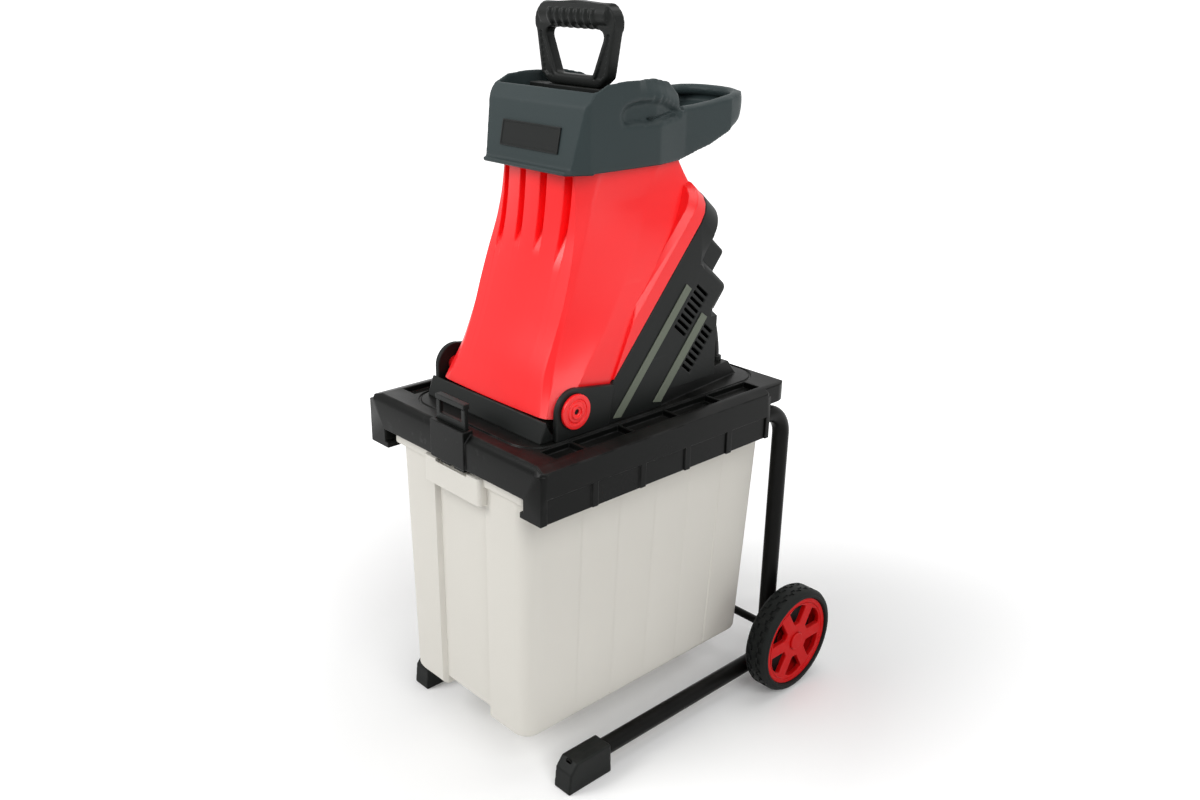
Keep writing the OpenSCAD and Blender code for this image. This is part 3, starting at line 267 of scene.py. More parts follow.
def moulded(bm, voxel, passes, keep=1.0):
    """Melts a closed shape into one skin with soft edges, as a moulding has them."""
    mesh = bpy.data.meshes.new("melt")
    bm.to_mesh(mesh)
    bm.free()
    piece = bpy.data.objects.new("melt", mesh)
    bpy.context.scene.collection.objects.link(piece)
    melt = piece.modifiers.new("melt", "REMESH")
    melt.mode = "VOXEL"
    melt.voxel_size = voxel
    calm = piece.modifiers.new("calm", "SMOOTH")
    calm.factor = 0.5
    calm.iterations = passes
    thin = piece.modifiers.new("thin", "DECIMATE")
    thin.ratio = keep
    mesh = settled(piece)
    out = bmesh.new()
    out.from_mesh(mesh)
    bpy.data.objects.remove(piece)
    bpy.data.meshes.remove(mesh)
    return out


def piece_of(name, bm, body, slot, stands_for=(), sharp=24, flat=None):
    """Makes the finished object of a mesh, gives it its finish and lets it ride on its body.

    With a flat value, edges between two faces that are both larger than it stay crisp.
    """
    level = 0.01
    bm.edges.index_update()
    crisp = [e.index for e in bm.edges if flat and len(e.link_faces) == 2 and e.calc_face_angle(0) > level
             and min(f.calc_area() for f in e.link_faces) > flat]
    mesh = bpy.data.meshes.new(name)
    bm.to_mesh(mesh)
    bm.free()
    mesh.polygons.foreach_set("use_smooth", [True] * len(mesh.polygons))
    mesh.set_sharp_from_angle(angle=math.radians(sharp))
    for i in crisp:
        mesh.edges[i].use_edge_sharp = True
    mesh.materials.append(finish(slot))
    piece = bpy.data.objects.new(name, mesh)
    bpy.context.scene.collection.objects.link(piece)
    if sharp < SOFT_ANGLE:
        even = piece.modifiers.new("even", "WEIGHTED_NORMAL")
        even.keep_sharp = True
        settled(piece).name = name
    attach(piece, body)
    if stands_for:
        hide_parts(*stands_for)


def rounded_node(node, body, width, segments=2):
    """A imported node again, with its edges rounded."""
    piece_of(node + "_rounded", soften(copy_of(node), width, segments), body, SLOT_OF[node], [node])


def join(bm, other):
    """Adds another mesh to this one."""
    mesh = bpy.data.meshes.new("join")
    other.to_mesh(mesh)
    other.free()
    bm.from_mesh(mesh)
    bpy.data.meshes.remove(mesh)


def loop_of(bm, points):
    """New corners at the points and the edges that join them into a closed chain."""
    chain = [bm.verts.new(p) for p in points]
    return chain, [bm.edges.new(pair) for pair in zip(chain, chain[1:] + chain[:1])]


def tube(points, radius, sides):
    """A round bar with closed ends that follows the points."""
    bm = bmesh.new()
    rings = []
    for i, p in enumerate(points):
        ahead = (points[min(i + 1, len(points) - 1)] - points[max(i - 1, 0)]).normalized()
        turn = ahead.to_track_quat("Z", "Y").to_matrix().to_4x4()
        made = bmesh.ops.create_circle(bm, segments=sides, radius=radius, matrix=Matrix.Translation(p) @ turn)
        rings.append(made["verts"])
    for pair in zip(rings, rings[1:]):
        edges = {e for ring in pair for v in ring for e in v.link_edges if e.other_vert(v) in ring}
        bmesh.ops.bridge_loops(bm, edges=list(edges))
    for ring in (rings[0], rings[-1]):
        bmesh.ops.contextual_create(bm, geom=ring)
    bmesh.ops.recalc_face_normals(bm, faces=bm.faces)
    return bm


def lathe(profile, centre, steps):
    """A closed ring around the x axis through a centre, from pairs of a radius and an offset along the axis."""
    bm = bmesh.new()
    chain, edges = loop_of(bm, [centre + Vector((x, 0, r)) for r, x in profile])
    bmesh.ops.spin(bm, geom=chain + edges, cent=centre, axis=(1, 0, 0), angle=math.tau, steps=steps, use_merge=True)
    bmesh.ops.remove_doubles(bm, verts=bm.verts, dist=NO_LENGTH)
    bmesh.ops.recalc_face_normals(bm, faces=bm.faces)
    return bm


def metres(profile, side):
    """A profile for the lathe in millimetres, with its offsets towards a side, in metres."""
    return [(r / 1000, side * x / 1000) for r, x in profile]


# Finishes

def add(tree, kind, **values):
    """A new shader node with its settings. The names of sockets begin with in_."""
    made = tree.nodes.new(kind)
    for key, value in values.items():
        if key.startswith("in_"):
            made.inputs[key.removeprefix("in_").replace("_", " ")].default_value = value
        else:
            setattr(made, key, value)
    return made


def wire(tree, *pairs):
    for a, b in pairs:
        tree.links.new(a, b)


def feed(tree, value, socket):
    """Gives a socket a number or the output of a node."""
    if isinstance(value, (int, float)):
        socket.default_value = value
    else:
        tree.links.new(value, socket)


def maths(tree, kind, a, b):
    made = add(tree, "ShaderNodeMath", operation=kind)
    feed(tree, a, made.inputs[0])
    feed(tree, b, made.inputs[1])
    return made.outputs[0]


def product(tree, first, *others):
    for value in others:
        first = maths(tree, "MULTIPLY", first, value)
    return first


def group_of(name, inputs, outputs):
    """A new shader group with its inputs, given with their defaults, and its outputs."""
    group = bpy.data.node_groups.new(name, "ShaderNodeTree")
    for key, value in inputs.items():
        kind = "NodeSocketColor" if isinstance(value, tuple) else "NodeSocketFloat"
        group.interface.new_socket(name=key, in_out="INPUT", socket_type=kind).default_value = value
    for key, kind in outputs.items():
        group.interface.new_socket(name=key, in_out="OUTPUT", socket_type=kind)
    return group, group.nodes.new("NodeGroupInput"), group.nodes.new("NodeGroupOutput")


def speckle(tree, scale, detail, stretch=None):
    """Noise over the piece's own coordinates, from 0 to 1."""
    place = add(tree, "ShaderNodeTexCoord").outputs["Object"]
    if stretch:
        turn = add(tree, "ShaderNodeMapping", in_Scale=stretch)
        wire(tree, (place, turn.inputs["Vector"]))
        place = turn.outputs[0]
    made = add(tree, "ShaderNodeTexNoise", in_Detail=detail)
    wire(tree, (place, made.inputs["Vector"]))
    feed(tree, scale, made.inputs["Scale"])
    return made.outputs["Fac"]


def ramp(tree, value, low, high):
    made = add(tree, "ShaderNodeMapRange", in_From_Min=low, in_From_Max=high)
    wire(tree, (value, made.inputs["Value"]))
    return made.outputs[0]


def moulded_grain():
    """Fine grain of a mould as a height, and a roughness that varies over broad areas."""
    group, read, give = group_of("moulded grain", {"Scale": 900.0, "Roughness": 0.4, "Spread": 0.1},
                                 {"Height": "NodeSocketFloat", "Roughness": "NodeSocketFloat"})
    fine = speckle(group, read.outputs["Scale"], 3.0)
    broad = maths(group, "SUBTRACT", speckle(group, 14.0, 3.0), 0.5)
    wave = product(group, broad, read.outputs["Spread"], 2.0)
    wire(group, (fine, give.inputs["Height"]),
         (maths(group, "ADD", read.outputs["Roughness"], wave), give.inputs["Roughness"]))
    return group


def shade_drift():
    """Slight light and dark areas over a moulding."""
    group, read, give = group_of("shade drift", {"Colour": (0.5, 0.5, 0.5, 1.0), "Amount": 0.06},
                                 {"Colour": "NodeSocketColor"})
    broad = maths(group, "SUBTRACT", speckle(group, 6.0, 4.0), 0.5)
    drift = product(group, broad, 2.0, read.outputs["Amount"])
    scaled = add(group, "ShaderNodeVectorMath", operation="SCALE")
    wire(group, (read.outputs["Colour"], scaled.inputs[0]),
         (maths(group, "ADD", drift, 1.0), scaled.inputs["Scale"]),
         (scaled.outputs[0], give.inputs["Colour"]))
    return group


def mask_group(name):
    return group_of(name, {"Amount": 0.2}, {"Mask": "NodeSocketFloat"})


def masked(group, read, give, where, patch):
    """Ends a group with a mask: where its effect can be, broken into patches, times its amount."""
    wire(group, (product(group, where, patch, read.outputs["Amount"]), give.inputs["Mask"]))
    return group


def scuff_marks():
    """Thin rubbed streaks that break up towards their ends."""
    group, read, give = mask_group("scuff marks")
    streak = ramp(group, speckle(group, 60.0, 6.0, (1.0, 0.14, 1.0)), 0.63, 0.72)
    return masked(group, read, give, streak, ramp(group, speckle(group, 9.0, 2.0), 0.52, 0.7))


def rubbed_edges():
    """Rounded edges that are rubbed lighter here and there."""
    group, read, give = mask_group("rubbed edges")
    edge = add(group, "ShaderNodeAttribute", attribute_name="edge").outputs["Fac"]
    return masked(group, read, give, edge, ramp(group, speckle(group, 38.0, 4.0), 0.4, 0.7))


def settled_dust():
    """A thin film of dust on faces that look upwards."""
    group, read, give = mask_group("settled dust")
    up = add(group, "ShaderNodeSeparateXYZ")
    wire(group, (add(group, "ShaderNodeTexCoord").outputs["Normal"], up.inputs[0]))
    top = ramp(group, up.outputs["Z"], 0.45, 1.0)
    return masked(group, read, give, top, ramp(group, speckle(group, 22.0, 6.0), 0.35, 0.75))


EFFECTS = {"moulded grain": moulded_grain, "shade drift": shade_drift, "scuff marks": scuff_marks,
           "rubbed edges": rubbed_edges, "settled dust": settled_dust}


def effect(tree, name, **values):
    """Places a shared effect in a finish with its own values."""
    group = bpy.data.node_groups.get(name) or EFFECTS[name]()
    made = add(tree, "ShaderNodeGroup", node_tree=group)
    for key, value in values.items():
        made.inputs[key].default_value = value
    return made


def blended(tree, mask, under, over):
    made = add(tree, "ShaderNodeMix", data_type="RGBA")
    wire(tree, (mask, made.inputs["Factor"]), (under, made.inputs["A"]))
    made.inputs["B"].default_value = (*over, 1)
    return made.outputs["Result"]


def moulding(name, tint, roughness, grain, bump, drift, scuff, rub, dust, spread, gloss, light=None, film=DUST,
             metallic=0.0):
    """A finish from the shared effects: grain, drift, rubbed edges, scuffs and dust over one tint."""
    dust_roughness, grain_height = 0.5, 0.0006
    material = bpy.data.materials.new(name)
    material.use_nodes = True
    tree = material.node_tree
    shader = tree.nodes["Principled BSDF"]
    shader.inputs["Metallic"].default_value = metallic
    shader.inputs["Specular IOR Level"].default_value = gloss
    light = light or tuple(min(1.0, 0.12 + 0.9 * c) for c in tint)
    skin = effect(tree, "moulded grain", Scale=grain, Roughness=roughness, Spread=spread)
    base = effect(tree, "shade drift", Colour=(*tint, 1), Amount=drift).outputs["Colour"]
    base = blended(tree, effect(tree, "rubbed edges", Amount=rub).outputs["Mask"], base, light)
    base = blended(tree, effect(tree, "scuff marks", Amount=scuff).outputs["Mask"], base, light)
    powder = effect(tree, "settled dust", Amount=dust).outputs["Mask"]
    base = blended(tree, powder, base, film)
    rough = maths(tree, "ADD", skin.outputs["Roughness"], product(tree, powder, dust_roughness))
    relief = add(tree, "ShaderNodeBump", in_Strength=bump, in_Distance=grain_height)
    wire(tree, (base, shader.inputs["Base Color"]), (rough, shader.inputs["Roughness"]),
         (skin.outputs["Height"], relief.inputs["Height"]), (relief.outputs[0], shader.inputs["Normal"]))
    return material


def brushed_metal(name, tint, roughness, stretch, spread):
    """Machined metal with fine drawn lines."""
    material = moulding(name, tint, roughness, grain=900, bump=0.05, drift=0.08, scuff=0.1, rub=0.2, dust=0.04,
                        spread=spread, gloss=0.5, light=tuple(min(1.0, c * 1.25) for c in tint), metallic=1.0)
    tree = material.node_tree
    shader = tree.nodes["Principled BSDF"]
    lines = speckle(tree, 420.0, 2.0, stretch)
    relief = add(tree, "ShaderNodeBump", in_Strength=0.12, in_Distance=0.0003)
    wire(tree, (lines, relief.inputs["Height"]), (relief.outputs[0], shader.inputs["Normal"]))
    return material


def make_finish(slot, name):
    c = colours()
    # Tint, roughness, grain, bump, shade drift, scuffs, rubbed edges, dust, spread of the roughness and gloss.
    plastics = {
        "red_plastic": (c.shell, 0.32, 1200, 0.02, 0.04, 0.08, 0.12, 0.02, 0.05, 0.42),
        "rim_plastic": (c.rim, 0.4, 900, 0.05, 0.07, 0.15, 0.2, 0.03, 0.08, 0.1),
        "charcoal_plastic": (c.hopper, 0.46, 760, 0.14, 0.1, 0.15, 0.0, 0.02, 0.08, 0.17),
        "black_plastic": (c.housing, 0.42, 760, 0.14, 0.12, 0.15, 0.12, 0.02, 0.08, 0.14),
        "deck_plastic": (c.deck, 0.3, 620, 0.12, 0.12, 0.14, 0.12, 0.02, 0.1, 0.09),
        "grey_plastic": (c.strips, 0.5, 800, 0.12, 0.06, 0.2, 0.2, 0.03, 0.08, 0.2),
        "box_plastic": (c.box, 0.46, 520, 0.05, 0.025, 0.06, 0.12, 0.03, 0.08, 0.16),
        "tube_paint": (c.tube, 0.34, 300, 0.05, 0.08, 0.1, 0.2, 0.01, 0.06, 0.08),
        "tyre": (c.tyre, 0.6, 480, 0.3, 0.16, 0.15, 0.1, 0.03, 0.08, 0.12),
        "lead_rubber": (linear(28, 28, 28), 0.55, 600, 0.2, 0.1, 0.1, 0.0, 0.04, 0.08, 0.5),
        "carbon": (linear(60, 60, 62), 0.55, 1400, 0.3, 0.15, 0.2, 0.0, 0.0, 0.08, 0.5),
        "green_button": (linear(38, 150, 74), 0.34, 900, 0.05, 0.06, 0.2, 0.3, 0.08, 0.08, 0.5),
        "red_button": (linear(206, 32, 30), 0.34, 900, 0.05, 0.06, 0.2, 0.3, 0.08, 0.08, 0.5),
    }
    # Tint, roughness, stretch of the drawn lines and spread of the roughness.
    metals = {
        "steel": (linear(196, 198, 202), 0.3, (1.0, 1.0, 0.04), 0.12),
        "alloy": (linear(206, 208, 210), 0.42, (0.4, 0.4, 0.4), 0.2),
        "copper": (linear(206, 128, 84), 0.32, (1.0, 1.0, 0.2), 0.12),
        "brass": (linear(214, 178, 104), 0.3, (1.0, 1.0, 0.04), 0.12),
    }
    # Plastics whose rubbed places or dust have a colour of their own.
    worn = {
        "red_plastic": {"light": linear(255, 90, 86)},
        "box_plastic": {"light": linear(226, 223, 215), "film": linear(190, 184, 172)},
    }
    if slot in metals:
        return brushed_metal(name, *metals[slot])
    return moulding(name, *plastics[slot], **worn.get(slot, {}))


def finish(slot):
    """The finish of a material slot, made once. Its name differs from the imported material's."""
    name = slot + " finish"
    return bpy.data.materials.get(name) or make_finish(slot, name)


# Pieces

class SHREDDER_OT_stage(bpy.types.Operator):
    """Pale floor, soft studio light and the camera"""
    bl_idname = "shredder.stage"
    bl_label = "Stage"

    # Name, place, aim, size in metres and power in watts.
    lamps = (
        ("key", (-1.3, -2.6, 2.5), (0, 0, 0.5), 1.7, 74),
        ("fill", (2.3, -0.9, 2.4), (0, 0, 0.5), 1.8, 40),
        ("side", (3.0, 0.9, 0.9), (0, 0, 0.6), 1.5, 9),
        ("top", (0.2, 0.7, 3.2), (0, 0, 0.5), 2.0, 28),
    )
    floor_reach = 70
    sky_light = 0.22
    # The camera fitted to the photo: its place, yaw, pitch and roll in degrees, and its focal length in pixels.
    camera_at = (1.0583, -1.0229, 1.0031)
    camera_turn = (46.313, 20.738, 1.007)
    focal, photo_width, sensor = 1137.3, 1200, 36

    def execute(self, context):
        scene = context.scene
        scene.view_settings.view_transform = "Standard"
        bm = bmesh.new()
        bmesh.ops.create_grid(bm, x_segments=2, y_segments=2, size=self.floor_reach)
        mesh = bpy.data.meshes.new("floor")
        bm.to_mesh(mesh)
        bm.free()
        floor = bpy.data.objects.new("floor", mesh)
        scene.collection.objects.link(floor)
        mesh.materials.append(self.floor_finish())
        self.sky(scene)
        for name, place, aim, size, power in self.lamps:
            lamp = bpy.data.lights.new(name, "AREA")
            lamp.size = size
            lamp.energy = power
            there = bpy.data.objects.new(name, lamp)
            there.location = place
            there.rotation_euler = (Vector(aim) - Vector(place)).to_track_quat("-Z", "Y").to_euler()
            scene.collection.objects.link(there)
        self.camera(scene)
        return {"FINISHED"}

    def seen(self, tree):
        """1 for rays that show the background: straight to the eye, in a reflection or through glass."""
        path = add(tree, "ShaderNodeLightPath").outputs
        direct = maths(tree, "MAXIMUM", path["Is Camera Ray"], path["Is Transmission Ray"])
        return maths(tree, "MAXIMUM", direct, path["Is Glossy Ray"])

    def floor_finish(self):
        """Pale floor that glows where it is seen, more with the distance, so that it is white round the shadow."""
        material = bpy.data.materials.new("pale floor")
        material.use_nodes = True
        tree = material.node_tree
        shader = tree.nodes["Principled BSDF"]
        shader.inputs["Base Color"].default_value = (*colours().floor, 1)
        shader.inputs["Roughness"].default_value = 0.9
        shader.inputs["Specular IOR Level"].default_value = 0.0
        shader.inputs["Emission Color"].default_value = (1, 1, 1, 1)
        away = add(tree, "ShaderNodeVectorMath", operation="LENGTH")
        wire(tree, (add(tree, "ShaderNodeTexCoord").outputs["Object"], away.inputs[0]))
        glow = add(tree, "ShaderNodeMapRange", in_From_Min=0.4, in_From_Max=1.7, in_To_Min=0.1, in_To_Max=1.0)
        wire(tree, (away.outputs["Value"], glow.inputs["Value"]),
             (product(tree, self.seen(tree), glow.outputs[0]), shader.inputs["Emission Strength"]))
        return material

    def sky(self, scene):
        """White where it is seen, and a dim light on the object."""
        world = bpy.data.worlds.new("studio")
        scene.world = world
        world.use_nodes = True
        tree = world.node_tree
        back = tree.nodes["Background"]
        back.inputs["Color"].default_value = (1, 1, 1, 1)
        white = product(tree, self.seen(tree), 1 - self.sky_light)
        wire(tree, (maths(tree, "ADD", white, self.sky_light), back.inputs["Strength"]))

    def camera(self, scene):
        yaw, pitch, roll = (math.radians(v) for v in self.camera_turn)
        look = Vector((-math.sin(yaw) * math.cos(pitch), math.cos(yaw) * math.cos(pitch), -math.sin(pitch)))
        side = Vector((math.cos(yaw), math.sin(yaw), 0))
        top = side.cross(look)
        right = side * math.cos(roll) + top * math.sin(roll)
        up = top * math.cos(roll) - side * math.sin(roll)
        eye = bpy.data.cameras.new("camera")
        eye.sensor_width = self.sensor
        eye.lens = self.sensor * self.focal / self.photo_width
        eye.clip_end = 200
        there = bpy.data.objects.new("camera", eye)
        turn = Matrix((right, up, -look)).transposed().to_4x4()
        there.matrix_world = Matrix.Translation(Vector(self.camera_at)) @ turn
        scene.collection.objects.link(there)
        scene.camera = there


class SHREDDER_OT_finishes(bpy.types.Operator):
    """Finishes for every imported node. The axle is painted as the legs are"""
    bl_idname = "shredder.finishes"
    bl_label = "Finishes"

    def execute(self, context):
        for name, piece in NODES.items():
            piece.data.materials.clear()
            piece.data.materials.append(finish("tube_paint" if name == "axle" else SLOT_OF[name]))
        return {"FINISHED"}


class SHREDDER_OT_deck(bpy.types.Operator):
    """Deck, latch and collection box with rounded edges, and the melted feet"""
    bl_idname = "shredder.deck"
    bl_label = "Deck and box"

    # The box's faces above this area, in square metres, stay flat up to their edges.
    box_flat = 4e-4
    foot_voxel, foot_keep = 0.0012, 0.5

    def execute(self, context):
        s = sizes()
        rounded_node("deck", "frame", s.edge_round * 1.3, 3)
        box = soften(copy_of("collection_box"), s.edge_round * 0.7, 2, 30)
        piece_of("collection_box_rounded", box, "box", "box_plastic", ["collection_box"], 18, self.box_flat)
        rounded_node("box_latch", "latch", s.edge_round)
        for side in ("left", "right"):
            foot = side + "_foot"
            bm = moulded(copy_of(foot), self.foot_voxel, s.foot_passes, self.foot_keep)
            piece_of(foot + "_moulding", bm, "frame", SLOT_OF[foot], [foot], 60)
        return {"FINISHED"}


class SHREDDER_OT_housing(bpy.types.Operator):
    """Motor housing, its strips, covers, switch box, buttons, lock knob and hinge caps with rounded edges"""
    bl_idname = "shredder.housing"
    bl_label = "Motor housing"

    # Outer faces: both ends in x, the upper one along the parting plane and the rear one behind it.
    block_faces = (-118, 118, 205, 106)
    switch_faces = (28, 104, 241, 82)
    # The outer face of the right hinge disc, and radius and offset of its collar and of the black disc in its
    # socket, which is painted shade for the socket's hole.
    hinge = (127, 98, 34)
    collar = ((6.4, -1), (6.4, 0.9), (7, 1.4), (8.4, 1.4), (9, 0.9), (9, -1))
    shade_disc = ((0.4, -2.6), (0.4, -1.9), (3.45, -1.9), (3.45, -2.6))

    def execute(self, context):
        s = sizes()
        r = s.edge_round
        block = soften(copy_of("lower_housing"), s.block_round, 6, 60, self.meeting(*self.block_faces))
        piece_of("lower_housing_rounded", soften(block, r * 1.4), "frame", "black_plastic", ["lower_housing"])
        box = soften(copy_of("switch_box"), s.box_round, 5, 60, self.meeting(*self.switch_faces))
        piece_of("switch_box_rounded", soften(box, r * 0.6, 2, 60), "frame", "black_plastic", ["switch_box"])
        for name, share in (("side_trims", 0.5), ("motor_cover", 1.0), ("mains_inlet", 0.7), ("lead_glands", 0.5)):
            rounded_node(name, "frame", r * share)
        for name, body in (("start_button", "start"), ("stop_button", "stop"), ("reset_button", "reset"),
                           ("lock_knob", "lock_screw")):
            rounded_node(name, body, r * 0.8)
        self.hinge_caps(r * 0.8)
        return {"FINISHED"}

    def meeting(self, low, high, u, n):
        """A test for edges where two of the outer faces meet."""
        def test(edge):
            mid = (edge.verts[0].co + edge.verts[1].co) * 500
            up = mid - Vector((0, PLANE_Y, PLANE_Z))
            offs = (mid.x - low, mid.x - high, up.dot(ALONG) - u, up.dot(INTO) - n)
            return sum(abs(off) < 0.1 for off in offs) > 1
        return test

    def hinge_caps(self, width):
        """Hinge discs with a raised collar around their sockets, and a black disc sunk in each socket as painted
        shade for its hole.
        """
        caps = soften(copy_of("hinge_trunnions"), width, 3)
        shade_discs = bmesh.new()
        x, y, z = self.hinge
        for side in (-1, 1):
            face = spot(side * x, y, z)
            join(caps, lathe(metres(self.collar, side), face, 32))
            join(shade_discs, lathe(metres(self.shade_disc, side), face, 32))
        piece_of("hinge_trunnions_rounded", caps, "upper", "red_plastic", ["hinge_trunnions"])
        piece_of("hinge_socket_shade_discs", shade_discs, "upper", "deck_plastic")


class SHREDDER_OT_lead(bpy.types.Operator):
    """The interlock lead as a smooth round cable between its two glands"""
    bl_idname = "shredder.lead"
    bl_label = "Interlock lead"

    radius = 0.0035
    # The lead's distance from the middle plane, and of its lower gland from the deck's front, in millimetres.
    across, land = 78, 405
    steps = 6

    def execute(self, context):
        x, land = self.across, self.land
        route = [slope(x, 180, 103), slope(x, 180, 120), slope(x, 176, 140), spot(x, land - 9, 74),
                 spot(x, land - 3, 52), spot(x, land, 32), spot(x, land, 12)]
        line = [route[0]]
        for i, (a, b) in enumerate(zip(route, route[1:])):
            before, after = route[max(i - 1, 0)], route[min(i + 2, len(route) - 1)]
            for k in range(1, self.steps + 1):
                start, end, leave, arrive = shares(k / self.steps)
                line.append(a * start + b * end + (b - before) * 0.5 * leave + (after - a) * 0.5 * arrive)
        piece_of("interlock_cable", tube(line, self.radius, 16), "frame", "lead_rubber", ["interlock_lead"], 60)
        return {"FINISHED"}


class SHREDDER_OT_chute(bpy.types.Operator):
    """Red chute: fluted front, soft side creases and the rim along the parting plane"""
    bl_idname = "shredder.chute"
    bl_label = "Feed chute"

    # Height over the deck, then the middle of the front, the front corner, both side creases and the rear.
    rows = [
        (24, 66, 92, 68.5, 101, 71, 112.4, 86, 113.4, 150),
        (44, 73, 86, 76, 97, 80, 112.0, 102, 113.6, 170),
        (70, 81, 80, 85, 90, 91, 110.6, 122, 114.2, 190),
        (115, 99, 80, 103.5, 86, 108, 108.0, 157, 115.4, 226),
        (151, 111, 81, 116, 85, 122, 105.4, 182, 116.2, 256),
        (190, 122, 79, 128, 83, 138, 103.2, 205, 115.2, 289),
        (230, 130, 74, 139, 80, 151, 98.8, 224, 107.6, 322),
        (258, 134, 70, 143.5, 78.4, 161, 91.6, 241, 94.0, 340),
        (274, 135.5, 68, 145, 77.4, 166.5, 85.2, 251, 85.0, 334),
        (302, 137.5, 66, 147, 77.8, 177, 83.4, 268, 76.4, 322),
        (316, 138, 65, 148, 77.4, 182, 81.6, 274, 74, 318),
    ]
    levels = [24, 32, 44, 56, 70, 84, 99, 115, 132, 151, 170, 186, 198, 206, 212, 218, 224, 230, 236, 244, 251,
              258, 266, 274, 288, 302, 316]
    # Each flute's distance from the middle, and the heights where it begins and is fully deep.
    flutes = ((19, 206, 240), (57, 196, 240))
    # Corners of the ribs: beside the middle, between the flutes and where the last rib begins.
    mid_rib, between_flutes, beyond_flutes = 7, 38, 63.5
    # Brinks of the flutes: their rounding outside, their first fall and the lean of the sides.
    brink_out, brink_fall, flute_lean = 0.9, 0.7, 1.2
    # How far the sides swell between their creases, and the rounded rear corner as steps in from both faces.
    swell = 1.6
    rear_corner = ((0, 12), (1.5, 6), (6, 1.5), (12, 0))
    # Both ends of a screw boss under the hopper, and its radius in metres.
    boss = ((75, 225, 290.7), (75, 225, 314.5))
    boss_radius = 0.005
    # The shell ends this far before the parting plane, in millimetres.
    play = 0.4

    def ring(self, z):
        """Half of the outline at a height, from the middle of the front to the middle of the rear."""
        mid, fx, fy, ax, ay, bx, by, rx, ry = eased(self.rows, z)
        s = sizes()
        half, deep = s.flute_width * 500, s.flute_depth * 1000

        def front(x):
            return mid + (fy - mid) * (x / fx) ** 2

        def brink(side, x, sunk):
            out = x + side * self.brink_out
            return [(out, front(out)), (x, front(x) + min(sunk, self.brink_fall)),
                    (x - side * self.flute_lean, front(x) + sunk)]
        line = [(0, front(0)), (self.mid_rib, front(self.mid_rib))]
        for at, low, high in self.flutes:
            sunk = deep * held((z - low) / (high - low))
            line += brink(-1, at - half, sunk) + brink(1, at + half, sunk)[::-1]
            if at < self.between_flutes:
                line.append((self.between_flutes, front(self.between_flutes)))
        beside = (fx * 2 + self.beyond_flutes) / 3
        line += [(beside, front(beside)), (fx, fy)]
        line += [(fx + (ax - fx) * t, fy + (ay - fy) * t) for t in (0.12, 0.5, 0.86)]
        line.append((ax, ay))
        line += [(ax + (bx - ax) * t + self.swell * t * (1 - t), ay + (by - ay) * t)
                 for t in (0.06, 0.35, 0.65, 0.95)]
        line.append((bx, by))
        corner = [(rx - in_x, ry - in_y) for in_x, in_y in self.rear_corner]
        line += [(bx + (rx - bx) * t, by + (corner[0][1] - by) * t) for t in (0.06, 0.4, 0.75)]
        return line + corner + [(0, ry)]

    def execute(self, context):
        bm = bmesh.new()
        below = None
        for z in self.levels:
            half = self.ring(z)
            outline = half + [(-x, y) for x, y in reversed(half[1:-1])]
            edges = loop_of(bm, [spot(x, y, z) for x, y in outline])[1]
            if below:
                bmesh.ops.bridge_loops(bm, edges=below + edges)
            below = edges
        cut(bm, slope(0, 0, -self.play), INTO)
        bmesh.ops.recalc_face_normals(bm, faces=bm.faces)
        bmesh.ops.solidify(bm, geom=bm.faces[:], thickness=sizes().chute_wall)
        if bm.calc_volume(signed=True) < 0:
            bmesh.ops.reverse_faces(bm, faces=bm.faces)
        for side in (-1, 1):
            join(bm, tube([spot(side * x, y, z) for x, y, z in self.boss], self.boss_radius, 16))
        piece_of("chute_shell", bm, "upper", "red_plastic", ["feed_chute"], 27)
        self.rim()
        return {"FINISHED"}

    def rim(self):
        """The band along the parting plane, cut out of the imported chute."""
        bm = copy_of("feed_chute")
        fade = (ALONG * -28 + INTO * -105).normalized()
        for at, outward in ((slope(0, 0, -28 - self.play), -INTO), (spot(0, 0, 56), Vector((0, 0, -1))),
                            (slope(0, 4, -self.play), fade)):
            cut(bm, at, outward)
            bmesh.ops.holes_fill(bm, edges=[e for e in bm.edges if e.is_boundary], sides=0)
        piece_of("chute_rim", soften(bm, sizes().edge_round * 0.9, 3, 25), "upper", "red_plastic")


